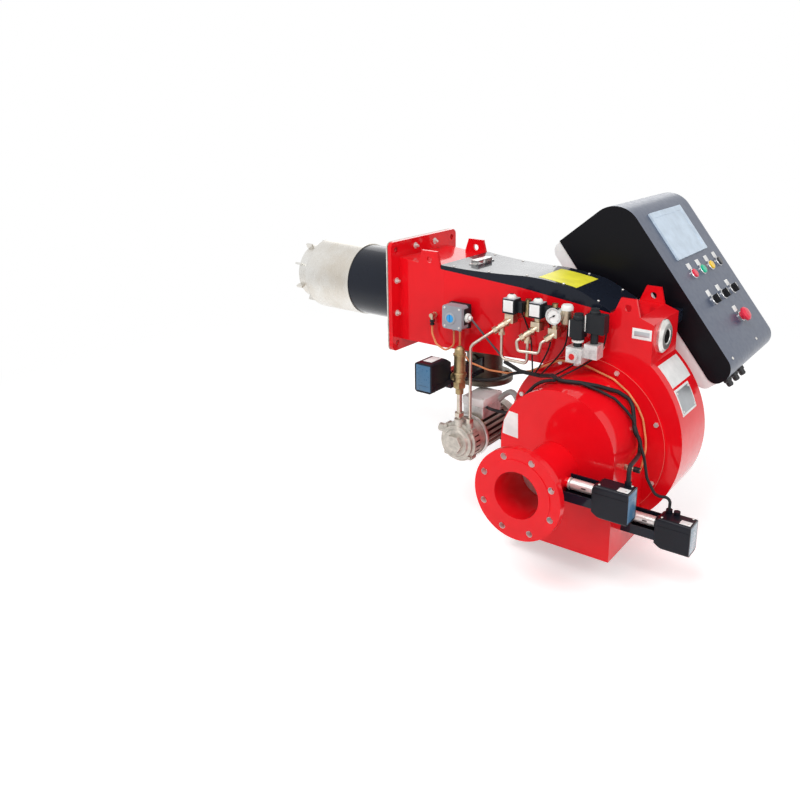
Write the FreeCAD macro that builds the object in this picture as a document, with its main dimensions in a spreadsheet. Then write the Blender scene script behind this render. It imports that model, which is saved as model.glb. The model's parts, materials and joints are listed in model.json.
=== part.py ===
import FreeCAD, Part
import math
import os
import re

import Sketcher
from FreeCAD import Placement, Rotation, Vector

# Dual fuel burner. Millimetres, +Z up. The origin is the centre of the face that
# bolts to the boiler; the flame tube points to -X and the blower lies at +X.

X_AXIS = Vector(1, 0, 0)
Y_AXIS = Vector(0, 1, 0)
Z_AXIS = Vector(0, 0, 1)
ALONG = {
    "X": Rotation(Y_AXIS, 90),
    "Y": Rotation(X_AXIS, -90),
    "Z": Rotation(),
}

doc = FreeCAD.newDocument("dual_fuel_burner")
sheet = doc.addObject("Spreadsheet::Sheet", "sizes")

# Driving dimensions
SIZES = {
    # Mounting flange, its gasket and the flame tube's own plate
    "flange_side": 350,
    "flange_thick": 13,
    "flange_round": 18,
    "gasket_thick": 3,
    "tube_plate_side": 336,
    "tube_plate_thick": 4,
    "boiler_hole_r": 9,
    "boiler_hole_at": 150,
    "flange_bolt_r": 5,
    "flange_bolt_edge": 150,
    "flange_bolt_at": 52,
    # Flame tube and combustion head
    "tube_r": 118,
    "tube_wall": 3,
    "tube_length": 243,
    "sleeve_overlap": 28,
    "sleeve_gap": 0.1,
    "flame_wall": 3,
    "flame_tube_length": 208,
    "shoulder_round": 28,
    "collar_step": 26,
    "collar_wall": 4,
    "collar_length": 40,
    "tab_count": 8,
    "tab_reach": 14,
    "tab_width": 7,
    "tab_length": 26,
    "diffuser_gap": 7,
    "diffuser_thick": 3,
    "diffuser_slots": 12,
    "lance_r": 11,
    "lance_back": 235,
    "electrode_r": 2,
    "electrode_spread": 21,
    # Air duct, tapering from the flange to the blower
    "wall": 4,
    "duct_half": 133,
    "duct_top": 124,
    "duct_bottom": 140,
    "taper_start": 190,
    "taper_end": 440,
    "housing_half": 95,
    "shelf_end": 178,
    "seam_end": 722,
    "seam_end_height": 45,
    "elbow_crest": 809,
    "elbow_back": 850,
    "elbow_back_height": 30,
    # Blower scroll
    "fan_x": 668,
    "fan_z": -335,
    "scroll_r": 250,
    "scroll_growth": 0.08,
    "scroll_curl": 0.00075,
    "scroll_start_angle": 112,
    "scroll_end_angle": 414.05,
    "inlet_hole_r": 150,
    "ring_r": 244,
    "ring_thick": 5,
    "ring_throat_r": 137,
    "ring_bolt_circle": 231,
    "ring_bolt_r": 4,
    # Impeller
    "wheel_r": 196,
    "wheel_eye_r": 141,
    "wheel_near_gap": 25,
    "wheel_far_gap": 19,
    "wheel_plate": 3,
    "blade_count": 20,
    "blade_thick": 3,
    "hub_r": 34,
    "fan_shaft_r": 12,
    "shaft_gap": 0.05,
    # Intake box and its damper
    "box_x": 678,
    "box_z": -302,
    "box_r": 172,
    "box_bottom": -585,
    "box_front": -302,
    "flap_gap": 3,
    "flap_thick": 4,
    "flap_z": -481,
    "flap_shaft_r": 7,
    # Flanged recirculation pipe
    "pipe_x": 676,
    "pipe_z": -349,
    "pipe_r": 70,
    "pipe_bore_r": 64,
    "pipe_front": -505,
    "pipe_flange_r": 125,
    "pipe_flange_thick": 20,
    "pipe_bolt_circle": 210,
    "pipe_hole_r": 9,
    "pipe_face_r": 96,
    "pipe_face_rise": 2,
    "disc_gap": 1.5,
    "disc_thick": 4,
    "disc_y": -365,
    "damper_shaft_r": 7,
    "boss_r": 14,
    "coupling_r": 12,
    # Damper motors
    "servo_length": 97,
    "servo_width": 60,
    "servo_height": 90,
    "servo_above_shaft": 29,
    "servo_round": 9,
    "recirculation_servo_x": 833,
    "air_servo_x": 946,
    "gas_servo_y": -233,
    "bracket_plate": 4,
    "bracket_half": 30,
    # Gas butterfly valve under the duct
    "gas_x": 256,
    "gas_flange_r": 92.5,
    "gas_flange_thick": 16,
    "gas_body_r": 58,
    "gas_bore_r": 35,
    "gas_length": 124,
    "gas_shaft_z": -188,
    "gas_bolt_circle": 145,
    "gas_bolt_count": 4,
    # Top cover
    "cover_wall": 2.5,
    "cover_front": 13,
    "cover_crest": 111.5,
    "handle_x": 245,
    "handle_span": 82,
    "handle_width": 24,
    "handle_rise": 14,
    # Lifting lugs
    "front_lug_x": 135,
    "front_lug_z": 130,
    "front_lug_top": 28.5,
    "rear_lug_x": 774,
    "rear_lug_z": 66,
    "rear_lug_top": 22,
    "lug_base_half": 42,
    "lug_rise": 27,
    "lug_hole_r": 10,
    "lug_thick": 8,
    # Sight glass in the back of the elbow
    "sight_y": -20,
    "sight_z": -16,
    "sight_r": 47,
    "sight_glass_r": 19,
    "sight_depth": 14,
    # Fan motor on the far side
    "motor_r": 104,
    "motor_length": 215,
    "motor_plate_r": 140,
    "motor_plate_thick": 10,
    "motor_cowl_length": 52,
    "motor_fins": 20,
    # Control cabinet, leaning back along the blower
    "panel_tilt_angle": 39,
    "panel_n": 706.5,
    "panel_top": 134,
    "panel_bottom": 751,
    "cabinet_near": 136,
    "cabinet_far": 578,
    "hood_depth": 252,
    "hood_low_depth": 84,
    "hood_step": 420,
    "hood_wall": 3,
    "hood_round": 88,
    "hood_low_round": 45,
    "tray_rise": 40,
    "screen_width": 262,
    "screen_height": 166,
    "screen_thick": 6,
    "screen_top": 217,
    "screen_left": 222,
    "button_row": 439,
    "button_first": 272,
    "button_pitch": 79,
    "button_r": 14,
    "button_rise": 6,
    "button_travel": 4,
    "bezel_r": 16.5,
    "bezel_thick": 5,
    "selector_row": 538,
    "selector_first": 297,
    "selector_pitch": 92,
    "estop_row": 625,
    "estop_y": 411,
    "estop_r": 22.5,
    # Oil pump and its motor
    "pump_x": 314,
    "pump_z": -390,
    "pump_front": -258,
    "pump_r": 62,
    "pump_length": 62,
    "lantern_r": 60,
    "lantern_length": 30,
    "pump_motor_r": 60,
    "pump_motor_length": 150,
    "pump_shaft_r": 8,
    # Oil valves, gauge and switch on the near wall
    "valve_y": -150,
    "first_valve_x": 440,
    "second_valve_x": 526,
    "third_valve_x": 582,
    "valve_z": 36,
    "coil_width": 40,
    "coil_height": 42,
    "gauge_r": 24,
    "gauge_depth": 26,
    "gauge_z": 28,
    "oil_pipe_r": 4.5,
    "riser_r": 8,
    "riser_x": 315,
    "riser_y": -230,
    "regulator_bottom": -236,
    "regulator_top": -90,
    "pilot_x": 655,
    "pilot_z": -70,
    "switch_x": 255,
    "switch_z": -23,
    "switch_front": -185,
    "switch_width": 70,
    "switch_height": 72,
    "dial_r": 12,
    "tube_size_r": 3,
    "harness_r": 6,
}

for row, (alias, number) in enumerate(SIZES.items(), start=1):
    sheet.set("A%d" % row, alias.replace("_", " "))
    sheet.set("B%d" % row, str(number))
    sheet.setAlias("B%d" % row, alias)
doc.recompute()


class Sizes:
    """Numbers of the sheet, read by alias."""

    def __getattr__(self, alias):
        return float(sheet.get(alias))


d = Sizes()
subparts = []


def keep(thing, node):
    """Name a finished sub-part after its file."""
    thing.Label = node
    subparts.append(thing)
    return thing


def with_sheet(text):
    """Point the alias words of an expression at the sheet."""
    functions = ("sin", "cos", "tan")
    pattern = r"[a-z][a-z_]*"
    return re.sub(
        pattern,
        lambda word: word.group(0) if word.group(0) in functions else "sizes." + word.group(0),
        text,
    )


def bind(thing, **texts):
    for name, text in texts.items():
        thing.setExpression(name, with_sheet(text))


def place(thing, corner, axis="Z"):
    """Put a primitive at a point given as three expressions, along an axis."""
    thing.Placement = Placement(Vector(), ALONG[axis])
    for letter, text in zip("xyz", corner):
        thing.setExpression("Placement.Base." + letter, with_sheet(text))
    return thing


def box(name, lengths, corner):
    block = doc.addObject("Part::Box", name)
    bind(block, Length=lengths[0], Width=lengths[1], Height=lengths[2])
    return place(block, corner)


def cylinder(name, radius, height, centre, axis="Z"):
    round_bar = doc.addObject("Part::Cylinder", name)
    bind(round_bar, Radius=radius, Height=height)
    return place(round_bar, centre, axis)


def fuse(name, *things):
    joined = doc.addObject("Part::MultiFuse", name)
    joined.Shapes = list(things)
    joined.Refine = True
    return joined


def cut(name, base, *tools):
    tool = tools[0] if len(tools) == 1 else fuse(name + "_tools", *tools)
    remainder = doc.addObject("Part::Cut", name)
    remainder.Base = base
    remainder.Tool = tool
    remainder.Refine = True
    return remainder


def common(name, first, second):
    shared = doc.addObject("Part::Common", name)
    shared.Base = first
    shared.Tool = second
    return shared


def solid_feature(name, shape, placement=None):
    """A sub-part whose shape is worked out here from the sheet."""
    feature = doc.addObject("Part::Feature", name)
    feature.Shape = shape
    if placement is not None:
        feature.Placement = placement
    return feature


def bar(radius, start, end):
    """Round bar between two points, as a bare shape."""
    reach = end - start
    return Part.makeCylinder(radius, reach.Length, start, reach)


def block(lengths, centre):
    """Box about its centre, as a bare shape."""
    half = Vector(lengths[0] / 2, lengths[1] / 2, lengths[2] / 2)
    return Part.makeBox(lengths[0], lengths[1], lengths[2], centre - half)


def hexagon(across, height, base, axis):
    """Hexagonal prism from a base point along an axis."""
    turned = Rotation(Z_AXIS, axis)
    corners = [
        base + turned.multVec(Rotation(Z_AXIS, 60 * k).multVec(Vector(across / math.sqrt(3), 0, 0)))
        for k in range(6)
    ]
    face = Part.Face(Part.makePolygon(corners + corners[:1]))
    return face.extrude(axis * height)


def turned(profile, axis_point, axis):
    """Solid of revolution from (radius, distance) points round an axis."""
    side = axis.cross(Z_AXIS) if abs(axis.dot(Z_AXIS)) < 0.9 else X_AXIS
    corners = [axis_point + side * radius + axis * along for radius, along in profile]
    face = Part.Face(Part.makePolygon(corners + corners[:1]))
    return face.revolve(axis_point, axis, 360)


def routed_tube(points, radius, bend):
    """Tube along straight runs joined by tangent arcs."""
    corners = [Vector(*point) for point in points]
    edges = []
    start = corners[0]
    for before, corner, after in zip(corners, corners[1:], corners[2:]):
        back = (before - corner).normalize()
        ahead = (after - corner).normalize()
        half_turn = (math.pi - back.getAngle(ahead)) / 2
        shorter = min((before - corner).Length, (after - corner).Length)
        trim = min(bend * math.tan(half_turn), 0.45 * shorter)
        first = corner + back * trim
        last = corner + ahead * trim
        middle_way = (back + ahead).normalize()
        arc_radius = trim / math.tan(half_turn)
        to_centre = arc_radius / math.cos(half_turn)
        middle = corner + middle_way * (to_centre - arc_radius)
        edges.append(Part.LineSegment(start, first).toShape())
        edges.append(Part.Arc(first, middle, last).toShape())
        start = last
    edges.append(Part.LineSegment(start, corners[-1]).toShape())
    path = Part.Wire(edges)
    heading = (corners[1] - corners[0]).normalize()
    ring = Part.Wire(Part.makeCircle(radius, corners[0], heading))
    return path.makePipeShell([ring], True, False)


def origin_plane(body, role):
    return next(plane for plane in body.Origin.OriginFeatures if plane.Role == role)


def sketch_on(body, role, name):
    sketch = body.newObject("Sketcher::SketchObject", name)
    sketch.AttachmentSupport = (origin_plane(body, role), "")
    sketch.MapMode = "FlatFace"
    return sketch


def pin(sketch, geometry, point, x_text, y_text):
    """Hold one sketch point by its two distances from the origin."""
    for kind, text in (("DistanceX", x_text), ("DistanceY", y_text)):
        number = sketch.addConstraint(Sketcher.Constraint(kind, -1, 1, geometry, point, 1.0))
        sketch.setExpression("Constraints[%d]" % number, with_sheet(text))


def draw_outline(sketch, corners):
    """Closed outline of straight sides through corners given as expressions."""
    count = len(corners)
    spread = [Vector(math.cos(2 * math.pi * k / count), math.sin(2 * math.pi * k / count), 0) for k in range(count)]
    first = sketch.GeometryCount
    for k in range(count):
        sketch.addGeometry(Part.LineSegment(spread[k], spread[(k + 1) % count]))
    for k in range(count):
        following = first + (k + 1) % count
        sketch.addConstraint(Sketcher.Constraint("Coincident", first + k, 2, following, 1))
    for k, (x_text, y_text) in enumerate(corners):
        pin(sketch, first + k, 1, x_text, y_text)


def draw_circle(sketch, x_text, y_text, radius):
    number = sketch.addGeometry(Part.Circle(Vector(1, 1, 0), Z_AXIS, 1))
    pin(sketch, number, 3, x_text, y_text)
    size = sketch.addConstraint(Sketcher.Constraint("Radius", number, 1.0))
    sketch.setExpression("Constraints[%d]" % size, with_sheet(radius))


def draw_square(sketch, half):
    draw_outline(sketch, [("-" + half, "-" + half), (half, "-" + half), (half, half), ("-" + half, half)])


def pad(body, sketch, length, name="pad", reverse=False):
    feature = body.newObject("PartDesign::Pad", name)
    feature.Profile = sketch
    feature.Reversed = reverse
    bind(feature, Length=length)
    sketch.Visibility = False
    return feature


def edges_along(feature, axis):
    """Names of the straight edges of a feature that run along an axis."""
    names = []
    for number, edge in enumerate(feature.Shape.Edges, start=1):
        if edge.Curve.TypeId == "Part::GeomLine" and abs(edge.Curve.Direction.dot(axis)) > 0.999:
            names.append("Edge%d" % number)
    return names


# Mounting flange, gasket, flame tube plate


def square_plate(node, half, thickness, start, bore, centre_holes):
    """Square plate with rounded corners, a bore, corner holes and edge bolt holes."""
    body = doc.addObject("PartDesign::Body", node)
    sketch = sketch_on(body, "YZ_Plane", node + "_outline")
    draw_square(sketch, "(" + half + ")")
    plate = pad(body, sketch, thickness, node + "_plate")
    doc.recompute()
    rounding = body.newObject("PartDesign::Fillet", node + "_corners")
    rounding.Base = (plate, edges_along(plate, X_AXIS))
    bind(rounding, Radius="flange_round")
    doc.recompute()
    holes = sketch_on(body, "YZ_Plane", node + "_holes")
    draw_circle(holes, "0 * flange_side", "0 * flange_side", bore)
    for side in ("", "-"):
        for end in ("", "-"):
            draw_circle(holes, side + "boiler_hole_at", end + "boiler_hole_at", "boiler_hole_r")
            draw_circle(holes, side + "flange_bolt_edge", end + "flange_bolt_at", centre_holes)
            draw_circle(holes, side + "flange_bolt_at", end + "flange_bolt_edge", centre_holes)
    pocket = body.newObject("PartDesign::Pocket", node + "_drilled")
    pocket.Profile = holes
    pocket.Reversed = True
    bind(pocket, Length=thickness)
    holes.Visibility = False
    bind(body, **{"Placement.Base.x": start})
    return body


PLATES = "gasket_thick + tube_plate_thick"
FLANGE_BACK = PLATES + " + flange_thick"
flange_back = d.gasket_thick + d.tube_plate_thick + d.flange_thick

keep(square_plate("mounting_flange", "flange_side / 2", "flange_thick", PLATES,
                  "tube_r - tube_wall", "flange_bolt_r + 0.5"), "mounting_flange")
keep(square_plate("flange_gasket", "flange_side / 2", "gasket_thick", "0 * gasket_thick",
                  "tube_r + 1", "flange_bolt_r + 0.5"), "flange_gasket")

tube_plate = square_plate("tube_plate", "tube_plate_side / 2", "tube_plate_thick", "gasket_thick",
                          "tube_r - tube_wall", "flange_bolt_r")
tube_outside = cylinder("tube_outside", "tube_r", "tube_length", ("gasket_thick - tube_length", "0 * wall", "0 * wall"), "X")
tube_inside = cylinder("tube_inside", "tube_r - tube_wall", "tube_length",
                       ("gasket_thick - tube_length", "0 * wall", "0 * wall"), "X")
tube_shell = cut("tube_shell", tube_outside, tube_inside)
keep(fuse("tube_extension", tube_shell, tube_plate), "tube_extension")


def flange_bolt_set():
    head = d.flange_bolt_r * 1.3
    washers = []
    for a in (-1, 1):
        for b in (-1, 1):
            for across, up in ((d.flange_bolt_edge, d.flange_bolt_at), (d.flange_bolt_at, d.flange_bolt_edge)):
                seat = Vector(flange_back, a * across, b * up)
                washer = bar(2 * d.flange_bolt_r, seat, seat + X_AXIS * 2)
                nut = hexagon(1.7 * d.flange_bolt_r * 1.1, head, seat + X_AXIS * 2, X_AXIS)
                tip = bar(0.9 * d.flange_bolt_r, seat - X_AXIS * (d.flange_thick + d.tube_plate_thick),
                          seat + X_AXIS * (head + 6))
                washers.append(washer.fuse([nut, tip]).removeSplitter())
    return Part.makeCompound(washers)


flange_bolts = flange_bolt_set()

# Flame tube: sleeve, dished front end, collar and gas tabs

tube_front = d.gasket_thick - d.tube_length
flame_back = tube_front + d.sleeve_overlap
flame_front = flame_back - d.flame_tube_length
collar_r = d.tube_r + d.sleeve_gap + d.flame_wall - d.collar_step
diffuser_r = collar_r - d.collar_wall - d.diffuser_gap


def flame_tube_shape():
    wall = d.flame_wall
    inner = d.tube_r + d.sleeve_gap
    outer = inner + wall
    bend = d.shoulder_round
    throat = outer - bend - 3
    tip = flame_front - d.collar_length
    turn = math.radians(45)
    outside = [
        Part.LineSegment(Vector(flame_back, 0, inner), Vector(flame_back, 0, outer)),
        Part.LineSegment(Vector(flame_back, 0, outer), Vector(flame_front + bend, 0, outer)),
        Part.Arc(
            Vector(flame_front + bend, 0, outer),
            Vector(flame_front + bend - bend * math.sin(turn), 0, outer - bend + bend * math.cos(turn)),
            Vector(flame_front, 0, outer - bend),
        ),
    ]
    corners = [
        Vector(flame_front, 0, outer - bend),
        Vector(flame_front, 0, throat),
        Vector(flame_front + wall, 0, throat),
        Vector(flame_front + wall, 0, outer - bend),
    ]
    for first, second in zip(corners, corners[1:]):
        outside.append(Part.LineSegment(first, second))
    inside_bend = bend - wall
    outside.append(
        Part.Arc(
            Vector(flame_front + wall, 0, outer - bend),
            Vector(flame_front + bend - inside_bend * math.sin(turn), 0, outer - bend + inside_bend * math.cos(turn)),
            Vector(flame_front + bend, 0, inner),
        )
    )
    outside.append(Part.LineSegment(Vector(flame_front + bend, 0, inner), Vector(flame_back, 0, inner)))
    face = Part.Face(Part.Wire([edge.toShape() for edge in outside]))
    sleeve = face.revolve(Vector(), X_AXIS, 360)
    mouth = collar_r
    collar = bar(mouth, Vector(tip, 0, 0), Vector(flame_front + wall / 2, 0, 0))
    collar = collar.cut(bar(mouth - d.collar_wall, Vector(tip - 1, 0, 0), Vector(flame_front + 5, 0, 0)))
    pieces = [collar]
    for k in range(int(d.tab_count)):
        tab = Part.makeBox(
            d.tab_length, d.tab_width, d.tab_reach + 1,
            Vector(tip - d.tab_length / 3, -d.tab_width / 2, mouth - 1),
        )
        tab.rotate(Vector(), X_AXIS, 360 / d.tab_count * (k + 0.5))
        pieces.append(tab)
    return sleeve.fuse(pieces).removeSplitter()


keep(solid_feature("flame_tube", flame_tube_shape()), "flame_tube")


def diffuser_shape():
    at = flame_front - 8
    disc = bar(diffuser_r, Vector(at, 0, 0), Vector(at + d.diffuser_thick, 0, 0))
    rim = bar(diffuser_r, Vector(at, 0, 0), Vector(at + 12, 0, 0))
    rim = rim.cut(bar(diffuser_r - 2, Vector(at - 1, 0, 0), Vector(at + 13, 0, 0)))
    hub = bar(d.lance_r + 5, Vector(at, 0, 0), Vector(at + 18, 0, 0))
    whole = disc.fuse([rim, hub])
    tools = [bar(d.lance_r, Vector(at - 1, 0, 0), Vector(at + 20, 0, 0))]
    for k in range(int(d.diffuser_slots)):
        slot = Part.makeBox(10, 7, diffuser_r - 40, Vector(at - 1, -3.5, 32))
        slot.rotate(Vector(), X_AXIS, 360 / d.diffuser_slots * k)
        tools.append(slot)
    return whole.cut(tools).removeSplitter()


keep(solid_feature("air_diffuser", diffuser_shape()), "air_diffuser")


def lance_shape():
    nose = flame_front - 14
    profile = [
        (0, nose), (4, nose), (7, nose + 6), (d.lance_r, nose + 8), (d.lance_r, d.lance_back), (0, d.lance_back),
    ]
    lance = turned(profile, Vector(), X_AXIS)
    spider_x = tube_front + 90
    arms = []
    for k in range(3):
        arm = Part.makeBox(12, 8, d.tube_r - d.tube_wall - d.lance_r + 1, Vector(spider_x, -4, d.lance_r - 1))
        arm.rotate(Vector(), X_AXIS, 60 + 120 * k)
        arms.append(arm)
    inner = bar(d.tube_r - d.tube_wall, Vector(spider_x - 5, 0, 0), Vector(spider_x + 20, 0, 0))
    arms = [arm.common(inner) for arm in arms]
    return lance.fuse(arms).removeSplitter()


keep(solid_feature("nozzle_lance", lance_shape()), "nozzle_lance")


def electrode_shape():
    tip = flame_front + 16
    back = tip + 150
    clamp = block((16, 2 * d.electrode_spread + 20, 14), Vector(tip + 60, 0, d.lance_r + 7))
    clamp = clamp.cut(bar(d.lance_r, Vector(tip, 0, 0), Vector(back, 0, 0)))
    rods = []
    for side in (-1, 1):
        centre = Vector(tip, side * d.electrode_spread, d.lance_r + 7)
        rods.append(bar(d.electrode_r, centre, centre + X_AXIS * 150))
        rods.append(bar(5, centre + X_AXIS * 22, centre + X_AXIS * 135))
    return clamp.fuse(rods).removeSplitter()


keep(solid_feature("ignition_electrodes", electrode_shape()), "ignition_electrodes")

# Air duct

seam_slope = (d.duct_top - d.seam_end_height) / (d.seam_end - flange_back)


def seam_height(x):
    """Height of the walls' top edge, a straight line from the flange to the elbow."""
    return d.duct_top - seam_slope * (x - flange_back)


def duct_half_at(x):
    if x <= d.taper_start:
        return d.duct_half
    if x >= d.taper_end:
        return d.housing_half
    share = (x - d.taper_start) / (d.taper_end - d.taper_start)
    return d.duct_half + share * (d.housing_half - d.duct_half)


def duct_section(x, side_inset, top, bottom):
    half = duct_half_at(x) - side_inset
    corners = [Vector(x, -half, bottom), Vector(x, half, bottom), Vector(x, half, top), Vector(x, -half, top)]
    return Part.makePolygon(corners + corners[:1])


def duct_loft(stations, side_inset, top_of, bottom):
    wires = [duct_section(x, side_inset, top_of(x), bottom) for x in stations]
    return Part.makeLoft(wires, True, True)


def duct_shape():
    stations = (flange_back, d.taper_start, d.taper_end)
    outer = duct_loft(stations, 0, seam_height, -d.duct_bottom)
    floor = d.wall - d.duct_bottom
    cavity = duct_loft(stations, d.wall, lambda x: seam_height(x) - d.wall, floor)
    open_top = duct_loft((d.shelf_end, d.taper_start, d.taper_end), d.wall, lambda x: d.duct_top + 50, floor)
    gas_port = bar(d.gas_bore_r, Vector(d.gas_x, 0, -d.duct_bottom - 1), Vector(d.gas_x, 0, floor + 1))
    return outer.cut([cavity, open_top, gas_port]).removeSplitter()


keep(solid_feature("duct_body", duct_shape()), "duct_body")

# Blower housing: scroll and elbow in one weldment


def prism(points, half, inset=0.0):
    """Extrude an XZ outline symmetrically across Y."""
    corners = [Vector(x, inset - half, z) for x, z in points]
    face = Part.Face(Part.makePolygon(corners + corners[:1]))
    return face.extrude(Y_AXIS * (2 * (half - inset)))


def scroll_radius(angle):
    """Radius of the scroll, growing along the way the air turns."""
    past = angle - 180
    return d.scroll_r + d.scroll_growth * past + d.scroll_curl * past * abs(past)


def scroll_prism(inset, half):
    count = 16
    points = []
    for k in range(count + 1):
        angle = d.scroll_start_angle + (d.scroll_end_angle - d.scroll_start_angle) * k / count
        radius = scroll_radius(angle) - inset
        turn = math.radians(angle)
        points.append(Vector(d.fan_x + radius * math.cos(turn), -half, d.fan_z + radius * math.sin(turn)))
    spiral = Part.BSplineCurve()
    spiral.interpolate(points)
    inner_top = d.duct_bottom / 4
    ends = [points[-1], Vector(points[-1].x, -half, -inner_top), Vector(points[0].x, -half, -inner_top), points[0]]
    edges = [spiral.toShape()]
    for first, second in zip(ends, ends[1:]):
        edges.append(Part.LineSegment(first, second).toShape())
    return Part.Face(Part.Wire(edges)).extrude(Y_AXIS * (2 * half))


def elbow_outline(inset, start):
    top = seam_height(start) - inset
    return [
        (start, inset - d.duct_bottom),
        (d.elbow_back - inset, inset - d.duct_bottom),
        (d.elbow_back - inset, d.elbow_back_height - inset),
        (d.elbow_crest - inset / 3, d.seam_end_height - inset),
        (d.seam_end, d.seam_end_height - inset),
        (start, top),
    ]


def scroll_shape():
    half = d.housing_half
    outer = prism(elbow_outline(0, d.taper_end), half).fuse(scroll_prism(0, half))
    inner_half = half - d.wall
    hollow = prism(elbow_outline(d.wall, d.taper_end - 5), inner_half).fuse(scroll_prism(d.wall, inner_half))
    open_top = Part.makeBox(
        d.seam_end - 4 - (d.taper_end - 5), 2 * inner_half, 120,
        Vector(d.taper_end - 5, -inner_half, 0),
    )
    inlet = bar(d.inlet_hole_r, Vector(d.fan_x, -half - 1, d.fan_z), Vector(d.fan_x, -half + d.wall + 1, d.fan_z))
    shaft = bar(2.5 * d.fan_shaft_r, Vector(d.fan_x, half - d.wall - 1, d.fan_z), Vector(d.fan_x, half + 1, d.fan_z))
    sight = bar(
        d.sight_glass_r,
        Vector(d.elbow_back - d.wall - 1, d.sight_y, d.sight_z),
        Vector(d.elbow_back + 1, d.sight_y, d.sight_z),
    )
    return outer.cut([hollow, open_top, inlet, shaft, sight]).removeSplitter()


keep(solid_feature("scroll_housing", scroll_shape()), "scroll_housing")

# Lifting lugs stand on the side walls, two at the flange and two at the elbow


def lug(x, z, half, base_reach, top_half, floor_of):
    """Trapezoid plate with an eye, inside the line of its wall."""
    base_left = x - d.lug_base_half
    base_right = x + base_reach
    points = [
        (base_left, floor_of(base_left)), (base_right, floor_of(base_right)),
        (x + top_half, z + d.lug_rise), (x - top_half, z + d.lug_rise),
    ]
    corners = [Vector(px, half - d.lug_thick, pz) for px, pz in points]
    plate = Part.Face(Part.makePolygon(corners + corners[:1])).extrude(Y_AXIS * d.lug_thick)
    eye = bar(d.lug_hole_r, Vector(x, half - d.lug_thick - 1, z), Vector(x, half + 1, z))
    return plate.cut(eye)


def lug_set():
    plates = []
    front = lug(d.front_lug_x, d.front_lug_z, d.duct_half, d.lug_base_half, d.front_lug_top, seam_height)
    rear = lug(d.rear_lug_x, d.rear_lug_z, d.housing_half, d.elbow_crest - d.rear_lug_x, d.rear_lug_top,
               lambda x: d.seam_end_height)
    for plate in (front, rear):
        plates.append(plate)
        plates.append(plate.mirror(Vector(), Y_AXIS))
    return Part.makeCompound(plates)


keep(solid_feature("lifting_lugs", lug_set()), "lifting_lugs")

# Black top cover over the open duct: shares of its length, and its fall below the crest

COVER_CURVE = ((0.17, -0.013), (0.39, 0.0), (0.603, 0.0), (0.717, 0.063), (0.822, 0.161), (0.903, 0.323))

def cover_prism(inset):
    """Cover outline in side view: straight seam below, long curve above."""
    start = d.shelf_end + inset
    end = d.seam_end
    crest = d.cover_crest - inset
    front_top = seam_height(d.shelf_end) + d.cover_front - inset
    seam_end = d.seam_end_height
    span = d.seam_end - d.shelf_end
    top = [Vector(start, 0, front_top)]
    for along, fall in COVER_CURVE:
        top.append(Vector(d.shelf_end + along * span, 0, crest - fall * d.cover_crest))
    top.append(Vector(end - 2 * inset, 0, seam_end + 2 * d.cover_wall - inset))
    curve = Part.BSplineCurve()
    curve.interpolate(top)
    drop = 40 if inset else 0
    corners = [
        top[-1],
        Vector(end - 2 * inset, 0, seam_height(end) - drop),
        Vector(start, 0, seam_height(start) - drop),
        top[0],
    ]
    edges = [curve.toShape()]
    for first, second in zip(corners, corners[1:]):
        edges.append(Part.LineSegment(first, second).toShape())
    side = Part.Face(Part.Wire(edges))
    side.translate(Y_AXIS * -d.flange_side)
    tall = side.extrude(Y_AXIS * (2 * d.flange_side))
    stations = (d.shelf_end - 10, d.taper_start, d.taper_end, d.seam_end + 10)
    plan = duct_loft(stations, inset, lambda x: 2 * d.cover_crest, -d.seam_end_height)
    return tall.common(plan)


cover_solid = cover_prism(0)
keep(solid_feature("top_cover", cover_solid.cut(cover_prism(d.cover_wall)).removeSplitter()), "top_cover")


def handle_shape():
    half = d.handle_span / 2
    width = d.handle_width
    centre = Vector(d.handle_x, -8, d.cover_crest)
    bridge = block((width, d.handle_span, 3), centre + Z_AXIS * d.handle_rise)
    legs = [block((width, 3, d.handle_rise + 8), centre + Vector(0, side * (half - 1.5), d.handle_rise / 2 - 2.5))
            for side in (-1, 1)]
    feet = [block((width, 14, 8), centre + Vector(0, side * (half + 5.5), 1.5)) for side in (-1, 1)]
    return bridge.fuse(legs + feet).cut(cover_solid).removeSplitter()


keep(solid_feature("cover_handle", handle_shape()), "cover_handle")

# Inlet ring with its bell mouth, bolted over the scroll's inlet hole

near_wall = -d.housing_half
ring_front = near_wall - d.ring_thick


def inlet_ring_shape():
    throat = d.ring_throat_r
    profile = [
        (throat + 3, 0), (d.ring_r, 0), (d.ring_r, d.ring_thick), (d.inlet_hole_r - 2, d.ring_thick),
        (throat + 1, d.ring_thick + 16), (throat, d.ring_thick + 28), (throat - 2.5, d.ring_thick + 28),
        (throat - 1.5, d.ring_thick + 12),
    ]
    return turned(profile, Vector(d.fan_x, ring_front, d.fan_z), Y_AXIS)


keep(solid_feature("inlet_ring", inlet_ring_shape()), "inlet_ring")


def ring_bolt_set():
    bolts = []
    for k in range(8):
        turn = math.radians(22.5 + 45 * k)
        seat = Vector(
            d.fan_x + d.ring_bolt_circle * math.cos(turn), ring_front, d.fan_z + d.ring_bolt_circle * math.sin(turn)
        )
        rise = max(0, seat.z - d.box_z)
        if math.hypot(seat.x - d.box_x, rise) < d.box_r + 3 * d.ring_bolt_r:
            continue
        bolts.append(hexagon(3.2 * d.ring_bolt_r, 1.4 * d.ring_bolt_r, seat, Y_AXIS * -1))
    return Part.makeCompound(bolts)


keep(solid_feature("bolts", Part.makeCompound(flange_bolts.Solids + ring_bolt_set().Solids)), "bolts")

# Intake box: arched, open at the bottom, with the pipe joining its front


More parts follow.
